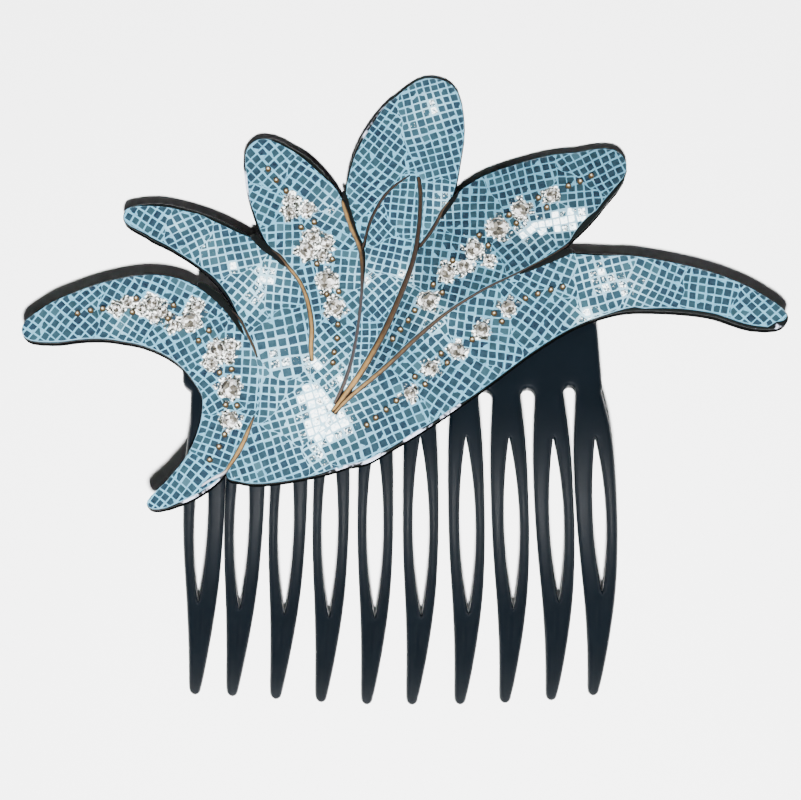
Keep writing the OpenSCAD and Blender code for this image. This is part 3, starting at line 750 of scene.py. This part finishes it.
def tooth_mid(i, y):
    """X of a tooth's middle line: even places that fan out, a lean of the tips to the left
    and the tooth's own offset."""
    at_root, at_tip = TOOTH_SET[i][:2]
    return (COMB_X + tooth_place(i) * (TOOTH_PITCH + TOOTH_FAN * (ROOT_Y - y))
            - LEAN * np.maximum(LEAN_Y - y, 0) ** 2 + at_root
            + (at_tip - at_root) * towards_tip(y))


def breadth(i, y):
    """Share by which the end teeth are broader than the middle ones, below the neck."""
    return 1 + ((0.0075 * tooth_place(i) ** 2 - 0.06) * np.clip((NECK_Y - y) / 10, 0, 1)
                * (1 - towards_tip(y)))


def tooth_side(i, side, flared):
    """Plan points of one side of a tooth, from the root of its gap, or from its neck, to
    the start of its tip."""
    half = TOOTH_PITCH / 2 - side * TOOTH_SET[i][0]
    neck = TOOTH_ROWS[0][1] if flared else OUTER_NECK[side > 0]
    a = np.linspace(math.pi / 2, 0, 9)
    flare = np.stack([NECK_Y + (ROOT_Y - NECK_Y) * np.sin(a),
                      neck + (half - neck) * (1 - np.cos(a))], -1)
    rows = np.concatenate([flare if flared else [(NECK_Y, neck)],
                           curve_through(TOOTH_ROWS, 8, 1)])
    y = rows[:, 0]
    x = tooth_mid(i, y) + side * rows[:, 1] * breadth(i, y)
    return np.stack([x, y + arch_at(x) - arch_at(tooth_mid(i, y))
                     - TOOTH_SET[i][2] * (1 - towards_tip(y)) + tooth_rise(i)], -1)


def tooth_tip(i):
    """The tip of a tooth: half a circle."""
    y, r = TOOTH_ROWS[-1]
    a = np.linspace(math.pi, 2 * math.pi, 11)[1:-1]
    return np.stack([tooth_mid(i, y) + r * np.cos(a), y + r * np.sin(a) + tooth_rise(i)], -1)


def length_at(y):
    """Length along the comb's front where it comes to a Y: the arc's below the bend."""
    bent = BEND_Y - CURVE_R * np.arcsin(np.clip((BEND_Y - y) / CURVE_R, 0, 1))
    return np.where(y < BEND_Y, bent, y)


def unrolled(plan, i):
    """Plan points of tooth i with Y as the length along the comb's curved front."""
    return np.stack([plan[:, 0], length_at(plan[:, 1] - tooth_rise(i)) + tooth_rise(i)], -1)


def comb_outline():
    """The comb's outline, unrolled: over the spine, then down and up each tooth, and a
    lens for each slot."""
    run = [SPINE_EDGE]
    for i in range(TOOTH_COUNT):
        inner_left, inner_right = i > 0, i < TOOTH_COUNT - 1
        left, right = tooth_side(i, -1, inner_left), tooth_side(i, 1, inner_right)
        run.append(unrolled(np.concatenate([left[int(inner_left):], tooth_tip(i),
                                            right[int(inner_right):][::-1]]), i))
        if inner_right:
            run.append([(right[0] + tooth_side(i + 1, -1, True)[0]) / 2])
    outer = np.concatenate(run + [SPINE_EDGE[:1]])
    loops = [even_steps(outer, EDGE_STEP)[:-1]] + [slot_edge(i) for i in range(TOOTH_COUNT)]
    start = np.cumsum([0] + [len(k) for k in loops])
    ends = [np.stack([s + np.arange(len(k)), s + (np.arange(len(k)) + 1) % len(k)], -1)
            for s, k in zip(start, loops)]
    return np.concatenate(loops), np.concatenate(ends)


def front_at(s):
    """Y and Z of the comb's front at a length s along it: flat down to the bend, then an
    arc; with the way into the plastic there."""
    a = np.maximum(BEND_Y - s, 0) / CURVE_R
    y = np.where(s > BEND_Y, s, BEND_Y - CURVE_R * np.sin(a))
    return y, -GLUE - CURVE_R * (1 - np.cos(a)), np.sin(a), -np.cos(a), a


def slot_reach(i):
    """Lengths along the front at which the slot of tooth i starts and ends, before the
    tooth's rise. It is shorter where the teeth rise, and with each tooth to the right."""
    y1 = EYE_TOP - tooth_rise(i)
    y0 = y1 - EYE_LEN + EYE_SHORT * (tooth_rise(i) - TOOTH_SET[i][2]) + EYE_SLOPE * tooth_place(i)
    return [float(length_at(y)) for y in (y1, y0)]


def slot_edge(i):
    """The slot of tooth i: a lens between two arcs, walked with the plastic on the left."""
    top, foot = slot_reach(i)
    half = (top - foot) / 2
    w = EYE_W - 0.025 * tooth_place(i) ** 2
    r = (half ** 2 + w ** 2 / 4) / w
    t = np.linspace(-half, half, 45)
    bulge = np.sqrt(r ** 2 - t ** 2) - (r - w / 2)
    t = np.concatenate([t[:-1], t[:0:-1]])
    bulge = np.concatenate([bulge[:-1], -bulge[:0:-1]])
    mid = (top + foot) / 2
    y_mid = float(front_at(np.array(mid))[0])
    x = (tooth_mid(i, y_mid) + EYE_SPREAD * tooth_place(i) - bulge
         - t * TOOTH_FAN * tooth_place(i))
    return np.stack([x, mid + t + tooth_rise(i)], -1)


def nearest_tooth(x, s):
    """Number of the tooth that a point belongs to."""
    y = front_at(s)[0]
    return np.abs(np.stack([tooth_mid(i, y) for i in range(TOOTH_COUNT)]) - x).argmin(0)


RISES = np.array([tooth_rise(i) for i in range(TOOTH_COUNT)])
SLOT_FEET = np.array([slot_reach(i)[1] + tooth_rise(i) for i in range(TOOTH_COUNT)])


def comb_shape(points, depth, back):
    """Plan points of the comb. A point goes along the front to its length and then into
    the plastic: by its depth from the front, or by the thickness less its depth from the
    back. The front has a groove below each slot that fades towards the tip."""
    x, s = points[:, 0], points[:, 1]
    i = nearest_tooth(x, s)
    rise = np.where(s < BEND_Y + 1, RISES[i], 0)
    y, z, into_y, into_z, a = front_at(s - rise)
    tip_turn = math.asin((BEND_Y - TIP_Y) / CURVE_R)
    thick = SPINE_T + (TIP_T - SPINE_T) * np.minimum(a / tip_turn, 1)
    if back:
        into = thick - depth
    else:
        off = x - np.choose(i, [tooth_mid(k, y) for k in range(TOOTH_COUNT)])
        below = SLOT_FEET[i] - s
        into = depth + (GROOVE_DEPTH * np.exp(-(off / GROOVE_W) ** 2)
                        * np.clip((below + 1.0) / 1.2, 0, 1)
                        * np.clip((GROOVE_LEN - below) / 5, 0, 1))
    return np.stack([x, y + rise + into * into_y, z + into * into_z], -1)


def make_comb():
    """The moulded comb: a slab bent down, with rounded edges round every tooth and slot."""
    corners, ends = comb_outline()
    # Inner points: a lattice on the spine, and rows of nine points across each tooth
    s = np.arange(-50, -4, 0.55)
    y = front_at(s)[0]
    half = np.interp(y, *np.array(TOOTH_ROWS[::-1]).T)
    runs = [lattice(np.arange(-36.5, 34, 1.5), np.arange(-4, 14, 1.5))]
    for i in range(TOOTH_COUNT):
        x = tooth_mid(i, y)[:, None] + np.linspace(-0.9, 0.9, 9) * (half - 0.45)[:, None]
        at = np.broadcast_arrays(x, (s + tooth_rise(i))[:, None])
        runs.append(np.stack(at, -1).reshape(-1, 2))
    inner = np.unique(np.round(np.concatenate(runs), 3), axis=0)
    inner = inner[depth_in(inner, corners, ends) > EDGE_R + 0.16]
    edge_r = np.interp(corners[:, 1], [-50, -40], [TIP_EDGE_R, EDGE_R])
    plan, faces = slab(corners, ends, edge_r, BACK_EDGE_R, inner, comb_shape)
    piece = new_piece("moulded_comb", plan, faces, PLASTIC)
    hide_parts("comb")


# ---- plate


def plate_shape(points, depth, back):
    """Plan points of the flat plate."""
    return raised(points, depth if back else PLATE_T - depth)


def make_plate():
    """The plate: the leaves' joint outline with its edges rounded over. The wall between
    the rounded edges, and the back's edge, are left matt from the saw."""
    corners, ends = node_outline("plate", PLATE_T)
    plan, faces = slab(corners, ends, PLATE_EDGE_R, PLATE_EDGE_R, np.zeros((0, 2)), plate_shape)
    sawn = np.arange(sum(len(f) for f in faces)) // len(ends) < RINGS
    # Painted highlight along the top rounded edge near the highlight spots
    painted_highlight = 0.75 * np.exp(-far_off(corners, PAINTED_HIGHLIGHT_SPOTS)).max(1)
    painted_highlight = np.tile(painted_highlight, 2 * RINGS) * (plan[:, 2] > PAINTED_HIGHLIGHT_Z)
    piece = new_piece("spray_plate", plan, faces, LACQUER, SAWN_EDGE, sharp=35,
                      faces_material=sawn, values={"painted_highlight": painted_highlight})
    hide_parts("plate")


# ---- mosaic


def stone_places(node):
    """Middles and widths of the loose stones in a node, in plan. Each corner starts with a
    number of its own, and a triangle's corners keep taking the lowest of theirs, until
    every stone has one number."""
    corners, which = welded(plan_of(node_corners(node)))
    label = np.arange(len(corners))
    while True:
        lower = label.copy()
        np.minimum.at(lower, which.ravel(), np.repeat(label[which].min(1), 3))
        if (lower == label).all():
            break
        label = lower
    boxes = [(g.min(0), g.max(0)) for g in (corners[label == k] for k in np.unique(label))]
    return [((low + high)[:2] / 2, float((high - low)[:2].max())) for low, high in boxes]


# Where the crushed stone lies: X, Y and reach, from each stone's width
STONES = np.array([(*at, 0.5 * width + STONE_GLITTER)
                   for node in sorted(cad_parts) if "crystal" in node
                   for at, width in stone_places(node)])


def patch_points(patch, a, b):
    """Plan points of a patch of mosaic from the lengths a along its rows and b across
    them: rows are arcs about one centre, straight where the bend is nothing, on a plan
    that sways a little."""
    x, y, heading, pitch, bend = patch
    k = math.radians(bend) if bend else 1e-6
    turn = math.radians(heading)
    along = (1 / k - b) * np.sin(a * k)
    across = 1 / k - (1 / k - b) * np.cos(a * k)
    px = x + along * math.cos(turn) - across * math.sin(turn)
    py = y + along * math.sin(turn) + across * math.cos(turn)
    return np.stack([px + 0.2 * np.sin(px * 0.45 + 1.3) * np.sin(py * 0.37),
                     py + 0.2 * np.sin(px * 0.33) * np.sin(py * 0.5 + 0.7)], -1)


def room(points, panel, patches, own):
    """How far points are inside the place of a patch: inside the panel by a joint, and
    nearer to this patch's centre than to the others' by half a joint, on a plan that
    wavers a little."""
    free = depth_in(points, *panel) - RIM_JOINT
    points = points + 0.3 * np.sin(points[:, ::-1] * (1.25, 1.4) + (0.4, 1.1))
    here = np.array(patches[own][:2])
    for k, other in enumerate(patches):
        if k != own:
            there = np.array(other[:2])
            way = (there - here) / np.linalg.norm(there - here)
            free = np.minimum(free, -((points - (here + there) / 2) @ way) - PATCH_JOINT)
    return free


# Outline of a tile, as shares of its half-widths: a square with cut corners
TILE_EDGE = np.array([
    (-1, -0.86), (-0.86, -1), (0, -1), (0.86, -1), (1, -0.86), (1, 0),
    (1, 0.86), (0.86, 1), (0, 1), (-0.86, 1), (-1, 0.86), (-1, 0)])


def patch_tiles(panel, patches, own, rng):
    """Outlines of a patch's tiles: squares with cut corners on the patch's rows, a little
    off true. A tile that crosses the edge of its place is cut there, by drawing each
    outside point towards the middle of the tile's inside part, in seven halvings; small
    scraps are left out."""
    patch = patches[own]
    pitch = patch[3]
    n = int(PATCH_REACH / pitch)
    i, j = lattice(np.arange(-n, n + 1.0), np.arange(-n, n + 1.0)).T
    half = 0.5 * TILE_SHARE * pitch * (1 + rng.uniform(-0.09, 0.09, (2, len(i))))
    off = rng.uniform(-0.05, 0.05, (2, len(i)))
    turn = rng.normal(0, 0.05, len(i))

    def space(points):
        return room(points.reshape(-1, 2), panel, patches, own).reshape(points.shape[:-1])

    near = space(patch_points(patch, i * pitch, j * pitch)) > -0.8 * pitch
    i, j, half, off, turn = i[near], j[near], half[:, near], off[:, near], turn[near]

    def spread(unit):
        u, v = unit[:, 0] * half[0][:, None], unit[:, 1] * half[1][:, None]
        c, s = np.cos(turn)[:, None], np.sin(turn)[:, None]
        return patch_points(patch, (i * pitch + off[0])[:, None] + u * c - v * s,
                            (j * pitch + off[1])[:, None] + u * s + v * c)

    fine = spread(lattice(np.linspace(-0.9, 0.9, 5), np.linspace(-0.9, 0.9, 5)))
    held = space(fine) > 0
    keep = held.mean(1) > SCRAP
    anchor = ((fine * held[..., None]).sum(1)[keep] / held.sum(1)[keep][:, None])[:, None]
    reach = spread(TILE_EDGE)[keep] - anchor
    low, high = np.zeros(reach.shape[:2]), np.ones(reach.shape[:2])
    low[space(anchor + reach) >= 0] = 1
    for _ in range(7):
        mid = (low + high) / 2
        fits = space(anchor + reach * mid[..., None]) > 0
        low, high = np.where(fits, mid, low), np.where(fits, high, mid)
    return anchor + reach * low[..., None]


def painted_light_and_glitter(at):
    """The painted glint at plan points, the painted sheen round it, and the crushed stone round
    the stones: the strongest of the spots, each fading with the square of the distance, and of
    the stones, each fading with its fourth power."""
    strength = PAINTED_GLINT_SPOTS[:, 3]
    fading = np.exp(-far_off(at, PAINTED_GLINT_SPOTS))
    near = far_off(at, STONES).min(1)
    painted_sheen = np.where(strength > 0.85, 0.45, strength)
    return ((strength * fading ** 1.3).max(1), (painted_sheen * fading ** 0.6).max(1),
            0.92 * np.exp(-near ** 2))


def bed_shape(points, depth, back):
    """Plan points of a panel's grout bed."""
    return raised(points, PLATE_T + GLUE + depth if back else BED_Z - depth)


def panel_place(node):
    """Outline of a panel of mosaic. Where it meets another panel or a vein it is carried
    on by half the joint. Where it ends at the plate's rim it stays, or steps back from the
    rim by the widest of the rim and shade spots, each fading with the fourth power of the
    distance, so that the plate's black shows, partly as rim and partly as painted shade."""
    corners, ends = node_outline(node, FACE_Z)
    inside = depth_in(corners, *node_outline("plate", PLATE_T)) > RIM_W
    fading = np.exp(-far_off(corners, RIM_AND_SHADE_SPOTS) ** 2)
    back = np.where(inside, -HALF_JOINT, (RIM_AND_SHADE_SPOTS[:, 3] * fading).max(1))
    return corners + way_in(corners, ends) * back[:, None], ends


def make_mosaic(node, seed):
    """One panel of mosaic: a grout bed, and tiles set in it as low prisms with bevelled
    edges, each leaning a little its own way."""
    rng = np.random.default_rng(seed)
    leaf = node.replace("mosaic_", "")
    corners, ends = panel_place(node)
    low, high = corners.min(0), corners.max(0)
    grid = lattice(np.arange(low[0], high[0], 1.2), np.arange(low[1], high[1], 1.2))
    grid = grid[depth_in(grid, corners, ends) > 0.4]
    bed, bed_faces = slab(corners, ends, *BED_EDGE_R, grid, bed_shape)
    patches = [(*patch, *PLAIN_PATCH[len(patch) - 3:]) for patch in PATCHES[node]]
    edge = np.concatenate([patch_tiles((corners, ends), patches, k, rng)
                           for k in range(len(patches))])
    count = len(edge)
    middle = edge.mean(1, keepdims=True)
    size = np.linalg.norm(edge - middle, axis=-1, keepdims=True)
    inset = middle + (edge - middle) * np.maximum(1 - TILE_BEVEL / np.maximum(size, 0.1), 0.3)
    lean = rng.normal(0, 0.045, (count, 1, 2))
    level = TILE_Z + rng.uniform(-0.01, 0.01, (count, 1))
    top = np.minimum(level + ((inset - middle) * lean).sum(-1), TILE_TOP)
    rings = [raised(edge, TILE_FOOT), raised(edge, TILE_BRIM), raised(inset, top)]
    plan = np.concatenate([bed, np.concatenate(rings, 1).reshape(-1, 3)])
    n = len(TILE_EDGE)
    sides = np.concatenate([band(0, n, n), band(n, 2 * n, n)])
    faces = [copies(group, 3 * n, count, len(bed))
             for group in (sides, [np.arange(n) + 2 * n], [np.arange(n)[::-1]])]
    x, y = middle[:, 0].T
    drift = (0.16 * np.sin(x * 0.5 + 0.8 * np.sin(y * 0.4))
             + 0.12 * np.sin(y * 0.7 + x * 0.23 + seed))
    tint_and_painted_facet_light = np.clip(rng.normal(0.42, 0.2, count) + drift, 0, 1)
    # Painted glint and painted sheen from the glint spots, and crushed stone round the stones
    pale, painted_sheen, glitter = painted_light_and_glitter(middle[:, 0])
    pale = np.clip(pale * rng.uniform(0.65, 1.25, count), 0, 1)
    bed_painted_sheen, bed_glitter = painted_light_and_glitter(bed[:, :2])[1:]
    light, dusk = STONE_LIGHT.get(leaf, 1), DUSK.get(leaf, 0)
    values = {"tint_and_painted_facet_light": (0, tint_and_painted_facet_light), "pale": (0, pale), "painted_sheen": (bed_painted_sheen, painted_sheen),
              "glitter": (bed_glitter * light, glitter * light), "dusk": (dusk, dusk)}
    for key, (under, own) in values.items():
        values[key] = np.concatenate([np.broadcast_to(under, len(bed)),
                                      np.repeat(np.broadcast_to(own, count), 3 * n)])
    bed_count = sum(len(f) for f in bed_faces)
    is_tile = np.arange(bed_count + sum(len(f) for f in faces)) >= bed_count
    piece = new_piece("glass_mosaic_" + leaf, plan, bed_faces + faces, GROUT, TILES,
                      smooth=False, faces_material=is_tile, values=values)
    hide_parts(node)


# ---- veins, crystals, beads


def ridge(rows, top, foot, uneven, wall=0.42):
    """A low round ridge carried along rows of X, Y and half-width. Across it the ridge is
    half an ellipse on walls that are the share wall of its height, and it narrows to
    nothing at both ends. Its width wavers by the share uneven. With its points and faces
    come how near each point is to the crown, and its share of the way along."""
    line = curve_through(rows, 10)
    way = np.gradient(line[:, :2], axis=0)
    way /= np.linalg.norm(way, axis=1)[:, None]
    run = length_along(line[:, :2])
    ends = np.sqrt(np.clip(np.minimum(run, run[-1] - run) / 0.5, 0.02, 1))
    wave = 1 + uneven * (0.6 * np.sin(run * 2.1 + line[0, 0]) + 0.4 * np.sin(run * 4.7))
    half = line[:, 2] * ends * wave
    turn = np.linspace(math.pi, 0, 11)
    across = np.concatenate([[-1], np.cos(turn), [1]])
    height = np.concatenate([[0], wall + (1 - wall) * np.sin(turn), [0]])
    at = line[:, None, :2] + left_of(way)[:, None] * (half[:, None] * across)[..., None]
    z = foot + (top - foot) * (0.75 + 0.25 * ends)[:, None] * height
    crown = np.concatenate([[0], np.sin(turn) ** 1.5, [0]]) * (0.55 + 0.45 * ends[:, None])
    n, m = z.shape
    around = np.concatenate([band(k * m, k * m + m, m) for k in range(n - 1)])[:, [1, 0, 3, 2]]
    faces = [around, [np.arange(m)], [np.arange(m)[::-1] + (n - 1) * m]]
    return raised(at, z).reshape(-1, 3), faces, crown.ravel(), np.repeat(run / run[-1], m)


def make_vein(name, rows, gilding, painted_highlight=(1, 0)):
    """A gilt vein between two leaves, browner where the gilding is thin, and white where a
    painted highlight lies on its crown."""
    plan, faces, crown, run = ridge(rows, VEIN_Z + 0.03, PLATE_T + GLUE + 0.02, 0.12)
    left = np.interp(run, np.linspace(0, 1, len(gilding)), gilding)
    # Painted highlight: white on the ridge's crown from that share of the way on
    white = painted_highlight[1] * np.clip((run - painted_highlight[0]) / 0.12, 0, 1) * (crown > 0.2)
    piece = new_piece(name.replace("vein", "gilt_vein"), plan, faces, VEIN_GOLD, sharp=60,
                      values={"crown": crown * left, "painted_highlight": white})
    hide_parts(name)


def make_notch_shade_fillet(name, rows):
    """The black fillet where two leaves part at the plate's edge: partly the plate's black edge,
    partly painted shade laid where the shadow falls.
    """
    plan, faces = ridge(rows, NOTCH_SHADE_FILLET_Z, PLATE_T + GLUE, 0.03, 0.93)[:2]
    piece = new_piece("notch_" + name, plan, faces, LACQUER, sharp=60)


def crystal_shape(places, rng):
    """Cut stones in silver cups. A stone has eight table facets round a low point, eight
    star facets, eight kites and sixteen girdle facets, and a foil cone below. Its cup is a
    ring of sixteen low claws that overlaps the girdle, and a wall down to the mosaic.
    Facets don't share corners, so each has its own painted brightness."""
    a8 = np.arange(8) * math.pi / 4
    a16 = np.arange(16) * math.pi / 8
    claw = 0.03 * np.cos(8 * a16)
    points = np.concatenate([
        ring(a8, 0.50, 1.0), ring(a8 + math.pi / 8, 0.72, 0.76), ring(a16, 0.92, 0.42),
        ring(a16, 0.92, GIRDLE), ring(a16, 0.75, 0.0), [[0, 0, 0.94]],
        ring(a16, 0.87 + claw, 0.52), ring(a16, 1.0, 0.4), ring(a16, 1.03, 0.0),
        ring(a16, 0.8, 0.3)])
    # The number of the first point of each of those rings, the first being 0
    star, girdle, low, cone, mid, lip, brim, wall, under = 8, 16, 32, 48, 64, 65, 81, 97, 113
    r, s = np.arange(8), np.arange(16)
    following, left, right = (r + 1) % 8, girdle + 2 * r, girdle + (2 * r + 2) % 16
    stone = [np.stack(corners, -1) for corners in (
        (r, following, np.full(8, mid)), (r, star + r, following),
        (following, star + r, right, star + following),
        (star + r, left, left + 1), (star + r, left + 1, right))]
    stone += [band(low, girdle, 16), band(cone, low, 16), [cone + s[::-1]]]
    cup = [band(brim, lip, 16), band(wall, brim, 16), band(lip, under, 16),
           [wall + s[::-1], under + s]]
    facets = [facet for group in stone + cup for facet in group]
    is_cup = np.arange(len(facets)) >= sum(len(group) for group in stone)
    sizes = np.array([len(facet) for facet in facets])
    own_x, own_y, own_z = points[np.concatenate(facets)].T
    middle = np.array([points[facet].mean(0) for facet in facets])
    facing = np.arctan2(middle[:, 1], middle[:, 0])
    plan, faces, tint_and_painted_facet_light = [], [], []
    for k, (at, width) in enumerate(places):
        turn = rng.uniform(0, math.pi / 4)
        cos, sin = math.cos(turn), math.sin(turn)
        x, y = own_x * cos - own_y * sin, own_x * sin + own_y * cos
        lean = rng.normal(0, 0.05, 2)
        z = STONE_Z + STONE_H * width * own_z
        plan.append(np.stack([at[0] + x * width / 2, at[1] + y * width / 2,
                              z + (x * lean[0] + y * lean[1]) * own_z * width / 2], -1))
        firsts = k * len(own_x) + np.cumsum(sizes) - sizes
        faces += [[range(first, first + size)] for first, size in zip(firsts, sizes)]
        # Painted reflections: two opposite sides of each stone brighter, and each facet a random
        # painted brightness
        spark = np.cos(2 * (facing - rng.uniform(0, math.pi))) * rng.uniform(0.25, 0.5)
        shade = np.clip(rng.beta(0.8, 0.7, len(sizes)) * 0.75 + 0.12 + spark, 0, 1)
        tint_and_painted_facet_light.append(np.repeat(shade, sizes))
    return np.concatenate(plan), faces, np.concatenate(tint_and_painted_facet_light), np.tile(is_cup, len(places))


def links(places):
    """The shortest set of lines that joins every place to the others: each turn adds the
    place that is nearest to those already joined."""
    at = np.array([p for p, width in places])
    gap = np.linalg.norm(at[:, None] - at, axis=-1)
    joined, pairs = [0], []
    while len(joined) < len(at):
        free = np.setdiff1d(np.arange(len(at)), joined)
        near = gap[np.ix_(joined, free)]
        k, j = np.unravel_index(near.argmin(), near.shape)
        pairs.append((joined[k], free[j]))
        joined.append(int(free[j]))
    return at, np.array(pairs, int).reshape(-1, 2)


def wire_under(places):
    """The wire that holds a row of stones or beads together, sunk in the grout: a square
    bar along each link, and a square post up into each stone."""
    at, pairs = links(places)
    corner = np.array([(-1, -1), (1, -1), (1, 1), (-1, 1)]) * WIRE_HALF
    posts = np.stack([raised(at[:, None] + corner, z) for z in POST_REACH], 1)
    a, b = at[pairs[:, 0]], at[pairs[:, 1]]
    side = left_of(b - a)
    side = side / np.maximum(np.linalg.norm(side, axis=1), 1e-6)[:, None]
    level = WIRE_Z + corner[:, 1] * 0.6
    bars = np.stack([raised(p[:, None] + side[:, None] * corner[:, :1], level)
                     for p in (b, a)], 1)
    blocks = np.concatenate([posts, bars])
    block = np.concatenate([band(0, 4, 4), [[3, 2, 1, 0], [4, 5, 6, 7]]])
    return blocks.reshape(-1, 3), copies(block, 8, len(blocks))


def on_wire(places, plan, faces, values):
    """A row's points, faces and values with its wire added, which has no value."""
    wire, bars = wire_under(places)
    return (np.concatenate([plan, wire]), faces + [bars + len(plan)],
            np.concatenate([values, np.zeros(len(wire))]))


def make_crystals(row, rng):
    """The crystals of one leaf: each CAD stone becomes a cut one of the same place and
    width in a silver cup, and the small ones make one piece on a sunken wire."""
    for node in sorted(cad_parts):
        if node.startswith("crystal_" + row) or node == "small_crystals_" + row:
            places = stone_places(node)
            plan, faces, tint_and_painted_facet_light, is_silver = crystal_shape(places, rng)
            if len(places) > 1:
                plan, faces, tint_and_painted_facet_light = on_wire(places, plan, faces, tint_and_painted_facet_light)
                is_silver = np.concatenate([is_silver, np.ones(len(faces[-1]), bool)])
            piece = new_piece(node.replace("crystal", "cut_crystal", 1), plan, faces, CRYSTAL,
                              SILVER, smooth=False, faces_material=is_silver,
                              values={"tint_and_painted_facet_light": tint_and_painted_facet_light * STONE_LIGHT.get(row, 1)})
            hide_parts(node)


def make_beads(node):
    """The beads of one leaf on their sunken wire: small spheres with a flat foot, twelve
    faces round."""
    places = stone_places(node)
    turn = np.arange(12) * math.pi / 6
    rise = np.linspace(-0.42, math.pi / 2, 8)[:-1]
    ball = np.concatenate([ring(turn, BEAD_R * np.cos(a), BEAD_R * np.sin(a)) for a in rise]
                          + [[[0, 0, BEAD_R]]])
    ball[:, 2] = np.maximum(ball[:, 2] + 0.33, 0)
    crest = len(ball) - 1
    rounds = np.concatenate([band(12 * j, 12 * j + 12, 12) for j in range(len(rise) - 1)])
    cap = band(crest - 12, crest, 12)[:, :3]
    cap[:, 2] = crest
    foot = [np.arange(12)[::-1]]
    plan = np.concatenate([ball + (*at, STONE_Z) for at, width in places])
    # Painted highlight: a near-white spot on the top of each bead, fading to painted shade round
    # it
    crown = np.exp(-(ball[:, :2] ** 2).sum(1) / 0.045) * (ball[:, 2] > 0.3)
    faces = [copies(group, len(ball), len(places)) for group in (rounds, cap, foot)]
    plan, faces, crown = on_wire(places, plan, faces, np.tile(crown, len(places)))
    piece = new_piece(node.replace("beads", "gilt_beads"), plan, faces, BEAD_GOLD,
                      values={"crown": crown})
    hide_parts(node)


# ---- table, light and camera


def make_table():
    """A plain near-white table."""
    mesh = bpy.data.meshes.new("table")
    mesh.from_pydata([(-3, -3, 0), (3, -3, 0), (3, 3, 0), (-3, 3, 0)], [], [(0, 1, 2, 3)])
    f = Finish("table white")
    f.set(Base_Color=f.blend(f.noise(3, 2), (0.86, 0.86, 0.86), (0.88, 0.88, 0.88)),
          Roughness=0.9)
    mesh.materials.append(f.material)
    table = placed("table", mesh)


def make_lamp(name, at, size, power, seen="both"):
    """A square lamp that faces the table's middle. It lights surfaces, shows in gloss, or
    both."""
    lamp = bpy.data.lights.new(name, "AREA")
    lamp.size = size
    lamp.energy = power
    holder = placed(name, lamp)
    holder.location = at
    holder.rotation_euler = (-Vector(at)).to_track_quat("-Z", "Y").to_euler()
    holder.visible_diffuse = seen != "gloss"
    holder.visible_glossy = seen != "surfaces"


def make_studio():
    """The studio: an even fill from the world, a small key lamp, a panel on either side,
    and the camera, which looks straight down."""
    world = bpy.data.worlds.new("studio")
    bpy.context.scene.world = world
    world.use_nodes = True
    fill = world.node_tree.nodes["Background"].inputs
    fill[0].default_value = (1, 1, 1, 1)
    fill[1].default_value = WORLD_FILL
    make_lamp("key", KEY_AT, 0.02, 14.5, seen="surfaces")
    make_lamp("key glint", KEY_AT, 0.02, 1.0, seen="gloss")
    for side, x in (("left", -0.9), ("right", 0.9)):
        make_lamp(side + " panel", (x, 0.1, 0.4), 0.35, 0.3)
        make_lamp(side + " sheen", (x, -0.1, 0.5), 0.5, 4, seen="gloss")
    camera = bpy.data.cameras.new("camera")
    camera.sensor_width = 36
    camera.lens = CAMERA_LENS
    camera.clip_start = 0.01
    holder = placed("camera", camera)
    holder.location = Vector(laid_down([0, 0, 3.3]).tolist()) + Vector((0, 0, CAMERA_UP))
    bpy.context.scene.camera = holder


# ---- assembly

make_table()
make_studio()
make_comb()
make_plate()
for seed, node in enumerate(PATCHES, MOSAIC_SEED):
    make_mosaic(node, seed)
for name, vein in VEINS.items():
    make_vein(name, *vein)
for name, rows in NOTCH_SHADE_FILLETS.items():
    make_notch_shade_fillet(name, rows)
sparkle = np.random.default_rng(STONE_SEED)
for row in ("left_arm", "round_leaf", "right_leaf", "right_arm"):
    make_crystals(row, sparkle)
    make_beads("beads_" + row)
